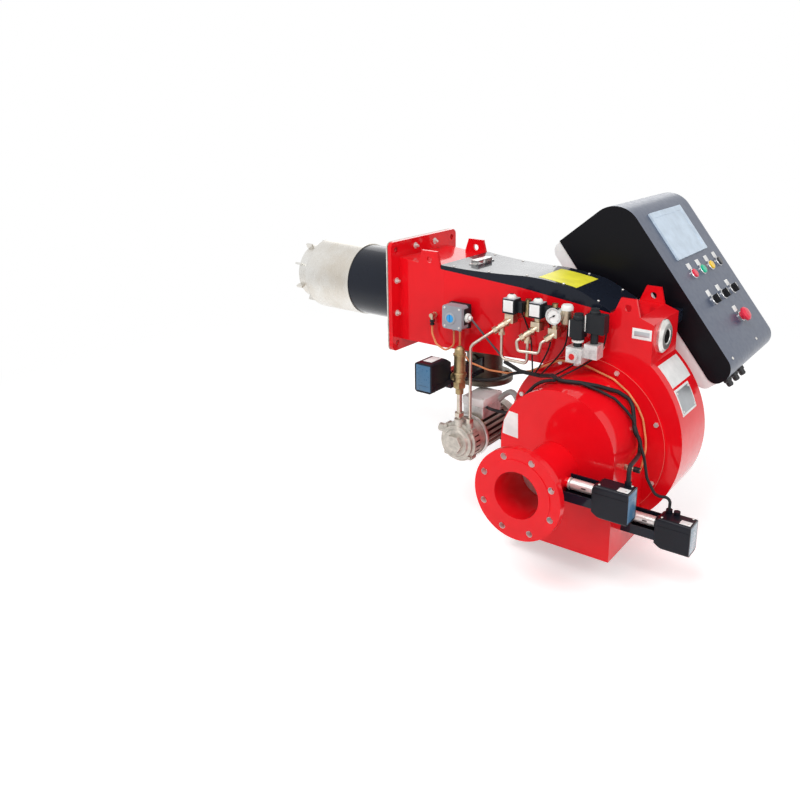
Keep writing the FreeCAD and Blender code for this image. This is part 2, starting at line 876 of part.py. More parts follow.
def arch(name, radius, near, deep, bottom):
    """Half round over straight sides, as one solid along Y."""
    crown = cylinder(name + "_crown", radius, deep, ("box_x", near, "box_z"), "Y")
    sides = box(name + "_sides", ("2 * (" + radius + ")", deep, "box_z - (" + bottom + ")"),
                ("box_x - (" + radius + ")", near, bottom))
    return fuse(name, crown, sides)


BOX_DEPTH = "-housing_half - ring_thick - box_front"
box_outside = arch("box_outside", "box_r", "box_front", BOX_DEPTH, "box_bottom")
box_inside = arch("box_inside", "box_r - wall", "box_front + wall", BOX_DEPTH + " - 2 * wall", "box_bottom - 10")
box_back_hole = cylinder("box_back_hole", "inlet_hole_r - 10", "4 * wall", ("fan_x", "-housing_half - ring_thick - 2 * wall", "fan_z"), "Y")
box_front_hole = cylinder("box_front_hole", "pipe_bore_r", "4 * wall", ("pipe_x", "box_front - wall", "pipe_z"), "Y")
flap_bearings = cylinder("flap_bearings", "flap_shaft_r + shaft_gap", "3 * box_r",
                         ("box_x - 1.5 * box_r", "(box_front - housing_half - ring_thick) / 2", "flap_z"), "X")
keep(cut("intake_box", box_outside, box_inside, box_back_hole, box_front_hole, flap_bearings), "intake_box")

# Flanged pipe on the front of the intake box

pipe_flange = cylinder("pipe_flange", "pipe_flange_r", "pipe_flange_thick",
                       ("pipe_x", "pipe_front + pipe_face_rise", "pipe_z"), "Y")
pipe_raised_face = cylinder("pipe_raised_face", "pipe_face_r", "pipe_face_rise",
                            ("pipe_x", "pipe_front", "pipe_z"), "Y")
pipe_neck = cylinder("pipe_neck", "pipe_r", "box_front - pipe_front - pipe_face_rise",
                     ("pipe_x", "pipe_front + pipe_face_rise", "pipe_z"), "Y")
pipe_bearings = cylinder("pipe_bearings", "boss_r", "2 * (pipe_r + 9)",
                         ("pipe_x - pipe_r - 9", "disc_y", "pipe_z"), "X")
pipe_bore = cylinder("pipe_bore", "pipe_bore_r", "box_front - pipe_front + 20", ("pipe_x", "pipe_front - 10", "pipe_z"), "Y")
pipe_shaft_bore = cylinder("pipe_shaft_bore", "damper_shaft_r + shaft_gap", "4 * pipe_r",
                           ("pipe_x - 2 * pipe_r", "disc_y", "pipe_z"), "X")
pipe_hole = cylinder("pipe_hole", "pipe_hole_r", "2 * pipe_flange_thick",
                     ("pipe_x + pipe_bolt_circle / 2 * cos(22.5)", "pipe_front - 5",
                      "pipe_z + pipe_bolt_circle / 2 * sin(22.5)"), "Y")
doc.recompute()
pipe_holes = [
    pipe_hole.Shape.rotated(Vector(d.pipe_x, 0, d.pipe_z), Y_AXIS, 45 * k) for k in range(8)
]
pipe_hole_set = solid_feature("pipe_hole_set", Part.makeCompound(pipe_holes))
pipe_solid = fuse("pipe_solid", pipe_flange, pipe_raised_face, pipe_neck, pipe_bearings)
pipe_turned = cut("pipe_turned", pipe_solid, pipe_bore, pipe_shaft_bore)
keep(cut("recirculation_pipe", pipe_turned, pipe_hole_set), "recirculation_pipe")

# Dampers


def coupling(start, end, axis, radius):
    """Clamp coupling sleeve with a flat waist in the middle."""
    sleeve = bar(radius, start, end)
    waist = bar(radius + 1.5, start + axis * 6, start + axis * 20)
    return sleeve.fuse(waist)


def recirculation_damper_shape():
    centre = Vector(d.pipe_x, d.disc_y, d.pipe_z)
    disc = bar(d.pipe_bore_r - d.disc_gap, centre - Y_AXIS * (d.disc_thick / 2), centre + Y_AXIS * (d.disc_thick / 2))
    shaft = bar(d.damper_shaft_r, centre - X_AXIS * (d.pipe_r + 4), Vector(d.recirculation_servo_x + 10, d.disc_y, d.pipe_z))
    hub = bar(d.damper_shaft_r + 3, centre - X_AXIS * 40, centre + X_AXIS * 40)
    start = Vector(d.pipe_x + d.pipe_r + 14, d.disc_y, d.pipe_z)
    sleeve = coupling(start, Vector(d.recirculation_servo_x - 6, d.disc_y, d.pipe_z), X_AXIS, d.coupling_r)
    return disc.fuse([shaft, hub, sleeve]).removeSplitter()


keep(solid_feature("recirculation_damper", recirculation_damper_shape()), "recirculation_damper")

flap_y = (d.box_front - d.housing_half - d.ring_thick) / 2


def air_damper_shape():
    inner_x = 2 * (d.box_r - d.wall - d.flap_gap)
    inner_y = -d.housing_half - d.ring_thick - d.box_front - 2 * (d.wall + d.flap_gap)
    centre = Vector(d.box_x, flap_y, d.flap_z)
    flap = block((inner_x, inner_y, d.flap_thick), centre)
    shaft = bar(d.flap_shaft_r, centre - X_AXIS * (d.box_r + 3), Vector(d.air_servo_x + 10, flap_y, d.flap_z))
    start = Vector(d.box_x + d.box_r + 12, flap_y, d.flap_z)
    sleeve = coupling(start, Vector(d.air_servo_x - 6, flap_y, d.flap_z), X_AXIS, d.coupling_r)
    return flap.fuse([shaft, sleeve]).removeSplitter()


keep(solid_feature("air_damper", air_damper_shape()), "air_damper")


def gas_damper_shape():
    centre = Vector(d.gas_x, 0, d.gas_shaft_z)
    disc = bar(d.gas_bore_r - 0.8, centre - Z_AXIS * 2, centre + Z_AXIS * 2)
    shaft = bar(d.damper_shaft_r, centre + Y_AXIS * (d.gas_body_r - 8), Vector(d.gas_x, d.gas_servo_y - 10, d.gas_shaft_z))
    start = Vector(d.gas_x, -d.gas_flange_r - 20, d.gas_shaft_z)
    sleeve = coupling(start, Vector(d.gas_x, d.gas_servo_y + 6, d.gas_shaft_z), Y_AXIS * -1, d.coupling_r)
    return disc.fuse([shaft, sleeve]).removeSplitter()


keep(solid_feature("gas_damper", gas_damper_shape()), "gas_damper")


def gas_valve_shape():
    top = -d.duct_bottom
    axis = Vector(d.gas_x, 0, 0)
    body = bar(d.gas_body_r, axis + Z_AXIS * (top - d.gas_length), axis + Z_AXIS * top)
    flanges = []
    for low in (top - d.gas_flange_thick, top - d.gas_length):
        flanges.append(bar(d.gas_flange_r, axis + Z_AXIS * low, axis + Z_AXIS * (low + d.gas_flange_thick)))
    boss = bar(d.boss_r + 4, Vector(d.gas_x, -d.gas_body_r - 12, d.gas_shaft_z), Vector(d.gas_x, 0, d.gas_shaft_z))
    whole = body.fuse(flanges + [boss])
    tools = [bar(d.gas_bore_r, axis + Z_AXIS * (top - d.gas_length - 1), axis + Z_AXIS * (top + 1))]
    tools.append(bar(d.damper_shaft_r + d.shaft_gap, Vector(d.gas_x, -d.gas_flange_r - 20, d.gas_shaft_z),
                     Vector(d.gas_x, d.gas_body_r - 6, d.gas_shaft_z)))
    for k in range(int(d.gas_bolt_count)):
        turn = math.radians(45 + 360 / d.gas_bolt_count * k)
        hole = axis + Vector(math.cos(turn), math.sin(turn), 0) * (d.gas_bolt_circle / 2)
        tools.append(bar(d.boiler_hole_r, hole + Z_AXIS * (top - d.gas_length - 1),
                         hole + Z_AXIS * (top - d.gas_length + d.gas_flange_thick + 1)))
    return whole.cut(tools).removeSplitter()


keep(solid_feature("gas_valve", gas_valve_shape()), "gas_valve")

# Damper motors: one casting shape, used three times


GLAND_R = 9
GLAND_HEIGHT = 10
RECIRCULATION_GLANDS = ((76, 18),)
AIR_GLANDS = ((20, 18), (42, 18))
GAS_GLANDS = ((53, 0),)


def servo_shape(gland_places):
    """Motor box in its own frame: shaft along +X from the origin, height along Z."""
    length = d.servo_length
    half = d.servo_width / 2
    top = d.servo_above_shaft
    low = top - d.servo_height
    chamfer = 16
    outline = [
        (0, low + chamfer), (chamfer + 8, low), (length, low), (length, top), (10, top), (0, top - 8),
    ]
    corners = [Vector(x, -half, z) for x, z in outline]
    body = Part.Face(Part.makePolygon(corners + corners[:1])).extrude(Y_AXIS * d.servo_width)
    long_edges = [
        edge for edge in body.Edges
        if abs(edge.BoundBox.ZLength) < 0.01 and edge.BoundBox.XLength > length / 2
    ]
    body = body.makeFillet(d.servo_round, long_edges)
    collar = bar(20, Vector(-5, 0, 0), Vector(1, 0, 0))
    socket = bar(d.damper_shaft_r + d.shaft_gap, Vector(-6, 0, 0), Vector(12, 0, 0))
    glands = [bar(GLAND_R, Vector(x, y, top - 1), Vector(x, y, top + GLAND_HEIGHT)) for x, y in gland_places]
    return body.fuse([collar] + glands).cut(socket).removeSplitter()


servo_places = (
    ("recirculation_servo", RECIRCULATION_GLANDS, Vector(d.recirculation_servo_x, d.disc_y, d.pipe_z), Rotation()),
    ("air_servo", AIR_GLANDS, Vector(d.air_servo_x, flap_y, d.flap_z), Rotation()),
    ("gas_servo", GAS_GLANDS, Vector(d.gas_x, d.gas_servo_y, d.gas_shaft_z),
     Rotation(Z_AXIS, -90).multiply(Rotation(X_AXIS, 180))),
)
for node, gland_places, base, facing in servo_places:
    keep(solid_feature(node, servo_shape(gland_places), Placement(base, facing)), node)


def bracket_channel(length):
    """Bracket in the motor's frame: far web, floor and near lip, ending at the motor."""
    half = d.bracket_half
    plate = d.bracket_plate
    far_web = Part.makeBox(length, plate, 52, Vector(-length, half - plate, -38))
    floor = Part.makeBox(length, 2 * half, plate, Vector(-length, -half, -38))
    near_lip = Part.makeBox(length, plate, 26, Vector(-length, -half, -38))
    return far_web.fuse([floor, near_lip]).removeSplitter()


def bracket_set():
    carriers = []
    reach = d.recirculation_servo_x - d.pipe_x
    recirculation = bracket_channel(reach)
    recirculation.translate(Vector(d.recirculation_servo_x, d.disc_y, d.pipe_z))
    pipe_line = bar(d.pipe_r, Vector(d.pipe_x, d.pipe_front, d.pipe_z), Vector(d.pipe_x, d.box_front, d.pipe_z))
    bearing = bar(d.boss_r, Vector(d.pipe_x, d.disc_y, d.pipe_z), Vector(d.pipe_x + d.pipe_r + 9, d.disc_y, d.pipe_z))
    carriers.append(recirculation.cut([pipe_line, bearing]))
    air = bracket_channel(d.air_servo_x - d.box_x - d.box_r)
    air.translate(Vector(d.air_servo_x, flap_y, d.flap_z))
    carriers.append(air)
    gas = bracket_channel(-d.gas_servo_y)
    gas.rotate(Vector(), Z_AXIS, -90)
    gas.translate(Vector(d.gas_x, d.gas_servo_y, d.gas_shaft_z))
    body_line = bar(d.gas_flange_r, Vector(d.gas_x, 0, -400), Vector(d.gas_x, 0, 0))
    neck = bar(d.gas_body_r, Vector(d.gas_x, 0, -400), Vector(d.gas_x, 0, 0))
    boss = bar(d.boss_r + 4, Vector(d.gas_x, -d.gas_body_r - 12, d.gas_shaft_z), Vector(d.gas_x, 0, d.gas_shaft_z))
    between = block((200, 400, d.gas_length - 2 * d.gas_flange_thick),
                    Vector(d.gas_x, -200, -d.duct_bottom - d.gas_length / 2))
    outside = gas.cut(body_line)
    inside = gas.common(between).cut([neck, boss])
    carriers.append(outside.fuse(inside).removeSplitter())
    return [max(carrier.Solids, key=lambda solid: solid.Volume) for carrier in carriers]


servo_brackets = bracket_set()

# Fan wheel on its shaft

wheel_near = d.housing_half - d.wheel_near_gap
wheel_far = d.housing_half - d.wheel_far_gap

def wheel_shape():
    centre = Vector(d.fan_x, 0, d.fan_z)
    near = centre - Y_AXIS * wheel_near
    far = centre + Y_AXIS * wheel_far
    back_plate = bar(d.wheel_r, far - Y_AXIS * d.wheel_plate, far)
    rim = bar(d.wheel_r, near, near + Y_AXIS * d.wheel_plate)
    rim = rim.cut(bar(d.wheel_eye_r, near - Y_AXIS, near + Y_AXIS * 10))
    hub = turned([(0, 0), (d.hub_r, 0), (d.hub_r * 0.7, -34), (0, -40)], far - Y_AXIS * d.wheel_plate, Y_AXIS)
    shaft = bar(d.fan_shaft_r, far - Y_AXIS * 20, Vector(d.fan_x, d.housing_half + d.motor_plate_thick + 40, d.fan_z))
    blades = []
    inner = d.wheel_eye_r + 3
    depth = wheel_near + wheel_far - 2 * d.wheel_plate
    sweep = math.radians(24)
    for k in range(int(d.blade_count)):
        start = 2 * math.pi * k / d.blade_count
        ends = []
        for radius, lag in ((inner, 0.0), ((inner + d.wheel_r) / 2, 0.62), (d.wheel_r - 1, 1.0)):
            turn = start - sweep * lag
            ends.append(Vector(d.fan_x + radius * math.cos(turn), -wheel_near + d.wheel_plate,
                               d.fan_z + radius * math.sin(turn)))
        chord = (ends[2] - ends[0]).normalize()
        side = chord.cross(Y_AXIS) * d.blade_thick
        concave = Part.Arc(*ends).toShape()
        convex = Part.Arc(*[point + side for point in reversed(ends)]).toShape()
        closing = [
            Part.LineSegment(ends[2], ends[2] + side).toShape(), Part.LineSegment(ends[0] + side, ends[0]).toShape(),
        ]
        outline = Part.Wire([concave, closing[0], convex, closing[1]])
        blades.append(Part.Face(outline).extrude(Y_AXIS * depth))
    return back_plate.fuse([rim, hub, shaft] + blades).removeSplitter()


keep(solid_feature("fan_wheel", wheel_shape()), "fan_wheel")

# Fan motor with cooling fins, cowl and terminal box


def fan_motor_shape():
    base = Vector(d.fan_x, d.housing_half, d.fan_z)
    plate = bar(d.motor_plate_r, base, base + Y_AXIS * d.motor_plate_thick)
    start = base + Y_AXIS * d.motor_plate_thick
    end = start + Y_AXIS * d.motor_length
    body = bar(d.motor_r - 10, start, end)
    fins = []
    for k in range(int(d.motor_fins)):
        fin = Part.makeBox(4, d.motor_length - 30, d.motor_r - 20, Vector(-2, start.y + 15, 20))
        fin.rotate(Vector(), Y_AXIS, 360 / d.motor_fins * (k + 0.5))
        fin.translate(Vector(d.fan_x, 0, d.fan_z))
        fins.append(fin.common(bar(d.motor_r, start, end)))
    terminal = block((110, 110, 42), Vector(d.fan_x, start.y + 75, d.fan_z + d.motor_r + 10))
    whole = plate.fuse([body, terminal] + fins)
    shaft_bore = bar(d.fan_shaft_r + d.shaft_gap, base - Y_AXIS, start + Y_AXIS * 44)
    return whole.cut(shaft_bore).removeSplitter()


keep(solid_feature("fan_motor", fan_motor_shape()), "fan_motor")


def fan_cowl_shape():
    start = Vector(d.fan_x, d.housing_half + d.motor_plate_thick + d.motor_length - 20, d.fan_z)
    length = d.motor_cowl_length + 20
    shell = turned(
        [(0, length), (0, length - 2.5), (d.motor_r - 8, length - 2.5), (d.motor_r, length - 12), (d.motor_r, 0),
         (d.motor_r + 2.5, 0), (d.motor_r + 2.5, length - 12), (d.motor_r - 8, length)],
        start, Y_AXIS,
    )
    slots = []
    for k in range(12):
        slot = Part.makeBox(8, 10, 50, Vector(-4, start.y + length - 6, 32))
        slot.rotate(Vector(), Y_AXIS, 30 * k)
        slot.translate(Vector(d.fan_x, 0, d.fan_z))
        slots.append(slot)
    return shell.cut(slots).removeSplitter()


keep(solid_feature("fan_motor_cowl", fan_cowl_shape()), "fan_motor_cowl")

# Sight glass


def sight_ring_shape():
    back = d.elbow_back
    profile = [
        (d.sight_glass_r, 0), (d.sight_r, 0), (d.sight_r, 6), (d.sight_r - 10, d.sight_depth),
        (d.sight_glass_r + 4, d.sight_depth), (d.sight_glass_r, d.sight_depth - 4),
    ]
    return turned(profile, Vector(back, d.sight_y, d.sight_z), X_AXIS)


keep(solid_feature("sight_ring", sight_ring_shape()), "sight_ring")
keep(cylinder("sight_glass", "sight_glass_r", "5 * wall / 4", ("elbow_back", "sight_y", "sight_z"), "X"), "sight_glass")

# Control cabinet: hood, back tray, screen and controls, in the panel's own frame.
# There +X runs down the slope, +Y across and +Z out of the panel.

tilt = math.radians(d.panel_tilt_angle)
down_slope = Vector(math.sin(tilt), 0, -math.cos(tilt))
outward = Vector(math.cos(tilt), 0, math.sin(tilt))
panel_turn = Rotation(down_slope, Y_AXIS, outward, "XYZ")


def on_panel(s, y, rise=0.0):
    """Placement on the panel: s down the slope, y across, rise out of it."""
    base = down_slope * s + outward * (d.panel_n + rise) + Y_AXIS * y
    return Placement(base, panel_turn)


def cabinet_outline(body, name, grow, back_grow, front):
    """Side profile: the lower part is shallower, to clear the blower."""
    sketch = sketch_on(body, "XZ_Plane", name)
    top = "panel_top + %s" % grow
    low = "panel_bottom - %s" % grow
    draw_outline(sketch, [
        (top, front),
        (low, front),
        (low, "-hood_low_depth - (%s)" % back_grow),
        ("hood_step + (%s)" % back_grow, "-hood_low_depth - (%s)" % back_grow),
        ("hood_step + (%s)" % back_grow, "-hood_depth - (%s)" % back_grow),
        (top, "-hood_depth - (%s)" % back_grow),
    ])
    return sketch


def corner_edges(feature, places, reach):
    """Edges across the cabinet that start near the given (s, depth) places."""
    names = []
    for number, edge in enumerate(feature.Shape.Edges, start=1):
        box_of = edge.BoundBox
        if box_of.YLength < reach or box_of.XLength > 0.1:
            continue
        if any(abs(box_of.XMin - s) < 0.1 and abs(box_of.ZMin - depth) < 0.1 for s, depth in places):
            names.append("Edge%d" % number)
    return names


def cabinet_prism(node, grow, back_grow, front, near, far):
    body = doc.addObject("PartDesign::Body", node)
    sketch = cabinet_outline(body, node + "_side", grow, back_grow, front)
    block_feature = pad(body, sketch, "%s - (%s)" % (far, near), node + "_block", True)
    doc.recompute()
    return body, block_feature


hood_body, hood_block = cabinet_prism("hood_block", "0 * wall", "0 * wall", "0 * wall", "cabinet_near", "cabinet_far")
rounding = hood_body.newObject("PartDesign::Fillet", "hood_crown")
rounding.Base = (hood_block, corner_edges(hood_block, [(d.panel_top, 0)], 50))
bind(rounding, Radius="hood_round")
doc.recompute()
lower_rounding = hood_body.newObject("PartDesign::Fillet", "hood_lower_front")
lower_rounding.Base = (rounding, corner_edges(rounding, [(d.panel_bottom, 0)], 50))
bind(lower_rounding, Radius="hood_low_round")
doc.recompute()
rear_rounding = hood_body.newObject("PartDesign::Fillet", "hood_lower_rear")
rear_rounding.Base = (lower_rounding, corner_edges(lower_rounding, [(d.panel_bottom, -d.hood_low_depth)], 50))
bind(rear_rounding, Radius="2 * hood_low_round / 3")
doc.recompute()

core_body, core_block = cabinet_prism("hood_core", "hood_wall", "30 * hood_wall", "-hood_wall",
                                      "cabinet_near + hood_wall", "cabinet_far - hood_wall")
core_rounding = core_body.newObject("PartDesign::Fillet", "hood_core_crown")
core_rounding.Base = (core_block, corner_edges(core_block, [(d.panel_top + d.hood_wall, -d.hood_wall)], 50))
bind(core_rounding, Radius="hood_round - hood_wall")
doc.recompute()
core_lower = core_body.newObject("PartDesign::Fillet", "hood_core_lower")
core_lower.Base = (core_rounding, corner_edges(core_rounding, [(d.panel_bottom - d.hood_wall, -d.hood_wall)], 50))
bind(core_lower, Radius="hood_low_round - hood_wall")
doc.recompute()
bind(core_body, **{"Placement.Base.y": "hood_wall"})
hood_local = cut("hood_local", hood_body, core_body)
doc.recompute()

control_hood = solid_feature("control_hood", hood_local.Shape.copy())
cabinet_frame = Placement(outward * d.panel_n + Y_AXIS * d.cabinet_near, panel_turn)
control_hood.Placement = cabinet_frame
keep(control_hood, "control_hood")

tray_body, tray_block = cabinet_prism("tray_block", "hood_wall", "tray_rise", "-hood_low_depth / 2",
                                      "cabinet_near + hood_wall", "cabinet_far - hood_wall")
tray_rounding = tray_body.newObject("PartDesign::Fillet", "tray_corners")
tray_rounding.Base = (tray_block, corner_edges(tray_block, [
    (d.panel_bottom - d.hood_wall, -d.hood_low_depth - d.tray_rise),
    (d.panel_top + d.hood_wall, -d.hood_depth - d.tray_rise),
], 50))
bind(tray_rounding, Radius="hood_round / 3")
doc.recompute()
hollow_body, hollow_block = cabinet_prism("tray_hollow", "2 * hood_wall", "tray_rise - hood_wall", "0 * wall",
                                          "cabinet_near + 2 * hood_wall", "cabinet_far - 2 * hood_wall")
bind(tray_body, **{"Placement.Base.y": "hood_wall"})
bind(hollow_body, **{"Placement.Base.y": "2 * hood_wall"})
tray_rounded = common("tray_rounded", tray_body, core_body)
tray_local = cut("tray_local", tray_rounded, hollow_body)
doc.recompute()
tray = solid_feature("control_back_box", tray_local.Shape.copy())
tray.Placement = cabinet_frame
keep(tray, "control_back_box")


def screen_shape():
    thick = d.screen_thick
    frame = Part.makeBox(d.screen_height, d.screen_width, thick)
    frame = frame.makeFillet(4, [edge for edge in frame.Edges if edge.BoundBox.ZLength > thick / 2])
    glass = Part.makeBox(d.screen_height - 36, d.screen_width - 40, 4, Vector(18, 20, thick - 1))
    return frame.cut(glass)


keep(solid_feature("touch_screen", screen_shape(), on_panel(d.screen_top, d.screen_left)), "touch_screen")

BUTTONS = ("stop_button", "start_button", "reset_button", "lamp_test_button")
SELECTORS = ("fuel_selector", "mode_selector", "firing_rate_selector")


def bezel_ring(bore):
    ring = turned([(bore, 0), (d.bezel_r, 0), (d.bezel_r, d.bezel_thick - 1.5), (d.bezel_r - 1.5, d.bezel_thick),
                   (bore, d.bezel_thick)], Vector(), Z_AXIS)
    return ring


def bezel_set():
    rings = []
    places = [(d.button_row, d.button_first + d.button_pitch * k) for k in range(len(BUTTONS))]
    places += [(d.selector_row, d.selector_first + d.selector_pitch * k) for k in range(len(SELECTORS))]
    places.append((d.estop_row, d.estop_y))
    for s, y in places:
        ring = bezel_ring(d.button_r + 0.3)
        ring.Placement = on_panel(s, y)
        rings.append(ring)
    return Part.makeCompound(rings)


keep(solid_feature("button_bezels", bezel_set()), "button_bezels")

for k, node in enumerate(BUTTONS):
    back = d.button_travel + 0.5
    front = d.bezel_thick + d.button_rise
    cap = turned([(0, back), (d.button_r, back), (d.button_r, front - 2), (d.button_r - 3, front), (0, front)],
                 Vector(), Z_AXIS)
    keep(solid_feature(node, cap, on_panel(d.button_row, d.button_first + d.button_pitch * k)), node)

for k, node in enumerate(SELECTORS):
    disc = bar(d.button_r, Vector(0, 0, 0.3), Vector(0, 0, d.bezel_thick + 3))
    grip = block((2 * d.button_r, 8, 13), Vector(0, 0, d.bezel_thick + 3 + 6))
    keep(solid_feature(node, disc.fuse(grip).removeSplitter(),
                       on_panel(d.selector_row, d.selector_first + d.selector_pitch * k)), node)

mushroom = turned([(0, d.button_travel + 0.3), (d.button_r, d.button_travel + 0.3),
                   (d.button_r, d.bezel_thick + d.button_travel + 4),
                   (d.estop_r, d.bezel_thick + d.button_travel + 6), (d.estop_r, d.bezel_thick + d.button_travel + 13),
                   (d.estop_r * 0.7, d.bezel_thick + d.button_travel + 19),
                   (0, d.bezel_thick + d.button_travel + 21)], Vector(), Z_AXIS)
keep(solid_feature("emergency_stop", mushroom, on_panel(d.estop_row, d.estop_y)), "emergency_stop")


def gland_set():
    """Cable glands under the cabinet, seated on its rounded lower end."""
    glands = []
    depth = -0.62 * d.hood_low_depth
    for k in range(3):
        body = turned([(0, -3), (13, -3), (13, 9), (10, 12), (10, 22), (7, 26), (0, 26)],
                      Vector(d.panel_bottom, 45 + 62 * k, depth), X_AXIS)
        seated = body.cut(hood_body.Shape)
        seated.Placement = cabinet_frame.multiply(seated.Placement)
        glands.append(seated)
    return Part.makeCompound(glands)


keep(solid_feature("cabinet_glands", gland_set()), "cabinet_glands")


def cabinet_arm_shape():
    span = d.cabinet_near - d.housing_half
    arms = []
    for x, low in ((625, 0), (830, -8)):
        arm = block((36, span, 36), Vector(x, d.housing_half + span / 2, low + 18))
        arms.append(arm.cut(block((28, span + 2, 28), Vector(x, d.housing_half + span / 2, low + 18))))
    return arms


cabinet_arms = cabinet_arm_shape()

# Oil pump, lantern, pump motor

pump_axis = Vector(d.pump_x, 0, d.pump_z)
pump_back = d.pump_front + d.pump_length
lantern_back = pump_back + d.lantern_length


def pump_shape():
    front = d.pump_front
    start = pump_axis + Y_AXIS * front
    body = turned(
        [(0, 6), (40, 6), (44, 12), (d.pump_r - 8, 12), (d.pump_r - 8, 22), (d.pump_r, 24),
         (d.pump_r, d.pump_length - 8), (d.pump_r - 6, d.pump_length), (0, d.pump_length)],
        start, Y_AXIS,
    )
    cap = hexagon(52, 14, start + Y_AXIS * 7, Y_AXIS * -1)
    ears = []
    for k in range(4):
        turn = math.radians(45 + 90 * k)
        centre = start + Vector(math.cos(turn), 0, math.sin(turn)) * (d.pump_r - 2) + Y_AXIS * 24
        ears.append(bar(9, centre, centre + Y_AXIS * 22))
        ears.append(hexagon(11, 6, centre, Y_AXIS * -1))
    riser = bar(15, Vector(d.riser_x, d.riser_y, d.pump_z), Vector(d.riser_x, d.riser_y, d.pump_z + d.pump_r + 12))
    outlet = bar(11, Vector(d.riser_x + 34, d.riser_y + 6, d.pump_z), Vector(d.riser_x + 34, d.riser_y + 6, d.pump_z + 66))
    inlet = bar(13, Vector(d.pump_x, d.pump_front + 36, d.pump_z + 28), Vector(d.pump_x - 74, d.pump_front + 36, d.pump_z + 28))
    whole = body.fuse([cap, riser, outlet, inlet] + ears)
    bore = bar(d.pump_shaft_r + d.shaft_gap, start + Y_AXIS * 26, start + Y_AXIS * (d.pump_length + 5))
    port = bar(8, Vector(d.pump_x - 80, d.pump_front + 36, d.pump_z + 28), Vector(d.pump_x - 60, d.pump_front + 36, d.pump_z + 28))
    return whole.cut([bore, port]).removeSplitter()


keep(solid_feature("oil_pump", pump_shape()), "oil_pump")


def lantern_shape():
    start = pump_axis + Y_AXIS * pump_back
    ring = turned([(30, 0), (d.lantern_r - 8, 0), (d.lantern_r, d.lantern_length - 8), (d.lantern_r, d.lantern_length),
                   (30, d.lantern_length)], start, Y_AXIS)
    return ring


keep(solid_feature("pump_lantern", lantern_shape()), "pump_lantern")


def pump_shaft_shape():
    shaft = bar(d.pump_shaft_r, pump_axis + Y_AXIS * (d.pump_front + 30), pump_axis + Y_AXIS * (lantern_back + 26))
    halves = bar(22, pump_axis + Y_AXIS * (pump_back + 4), pump_axis + Y_AXIS * (lantern_back - 4))
    return shaft.fuse(halves).removeSplitter()


keep(solid_feature("pump_shaft", pump_shaft_shape()), "pump_shaft")


def pump_motor_shape():
    start = pump_axis + Y_AXIS * lantern_back
    end = start + Y_AXIS * d.pump_motor_length
    body = bar(d.pump_motor_r - 7, start, end)
    front = bar(d.pump_motor_r, start, start + Y_AXIS * 10)
    cowl = turned([(0, 0), (d.pump_motor_r + 2, 0), (d.pump_motor_r + 2, 34), (d.pump_motor_r - 10, 42), (0, 42)], end, Y_AXIS)
    fins = []
    for k in range(20):
        fin = Part.makeBox(3, d.pump_motor_length - 14, d.pump_motor_r - 30, Vector(-1.5, start.y + 10, 30))
        fin.rotate(Vector(), Y_AXIS, 18 * (k + 0.5))
        fin.translate(pump_axis)
        fins.append(fin.common(bar(d.pump_motor_r, start, end)))
    bore = bar(d.pump_shaft_r + d.shaft_gap, start - Y_AXIS, start + Y_AXIS * 30)
    return body.fuse([front, cowl] + fins).cut(bore).removeSplitter()


pump_motor_solid = pump_motor_shape()
terminal = block((74, 104, 36), Vector(d.pump_x, lantern_back + 64, d.pump_z + d.pump_motor_r + 12))
terminal = terminal.makeFillet(4, [edge for edge in terminal.Edges if edge.BoundBox.ZLength > 30])
terminal_seat = bar(d.pump_motor_r, pump_axis + Y_AXIS * (lantern_back - 5), pump_axis + Y_AXIS * (lantern_back + 200))
keep(solid_feature("pump_terminal_box", terminal.cut([terminal_seat, pump_motor_solid])), "pump_terminal_box")
keep(solid_feature("pump_motor", pump_motor_solid), "pump_motor")


def pump_foot_shape():
    """Shelf bracket that carries the pump set on the scroll's left wall."""
    shelf = block((150, 60, 8), Vector(d.pump_x + 75, lantern_back + 120, d.pump_z))
    gusset = block((150, 8, 60), Vector(d.pump_x + 75, lantern_back + 120, d.pump_z - 20))
    cross = shelf.fuse(gusset)
    motor_space = bar(d.pump_motor_r, pump_axis + Y_AXIS * (lantern_back - 5), pump_axis + Y_AXIS * (lantern_back + 300))
    near_half = Part.makeBox(400, d.housing_half * 2, 700, Vector(d.pump_x - 200, -d.housing_half, -700))
    seat = scroll_prism(0, d.housing_half)
    held = cross.cut([motor_space, seat]).common(near_half)
    return max(held.Solids, key=lambda solid: solid.Volume)


keep(solid_feature("brackets", Part.makeCompound(servo_brackets + cabinet_arms + [pump_foot_shape()])), "brackets")

# Oil regulator on the riser above the pump


def regulator_shape():
    low = d.regulator_bottom
    high = d.regulator_top
    span = high - low
    body = turned(
        [(0, 0), (12, 0), (12, 14), (17, 20), (17, 0.36 * span), (21, 0.38 * span), (21, 0.44 * span),
         (17, 0.46 * span), (17, 0.8 * span), (19, 0.81 * span), (19, 0.85 * span), (16, 0.86 * span),
         (15, 0.95 * span), (7, span), (0, span)],
        Vector(d.riser_x, d.riser_y, low), Z_AXIS,
    )
    nut = hexagon(34, 18, Vector(d.riser_x, d.riser_y, low + 20), Z_AXIS)
    port_z = low + 0.42 * span - 12
    port = bar(12, Vector(d.riser_x, d.riser_y, port_z), Vector(d.riser_x - 25, d.riser_y, port_z))
    return body.fuse([nut, port]).removeSplitter()


keep(solid_feature("oil_regulator", regulator_shape()), "oil_regulator")

# Oil valves on the near wall: brass bodies, black coils, gauge

VALVE_PLACES = (d.first_valve_x, d.second_valve_x, d.third_valve_x)
CHAIN_WAY = Vector(-96, -74, -79).normalize()
CHAIN_REACH = (66, 62, 36)
TEE_AT = (37, 37, 0)
BRANCH = 26
duct_line = duct_loft((flange_back, d.taper_start, d.taper_end), 0, seam_height, -d.duct_bottom)


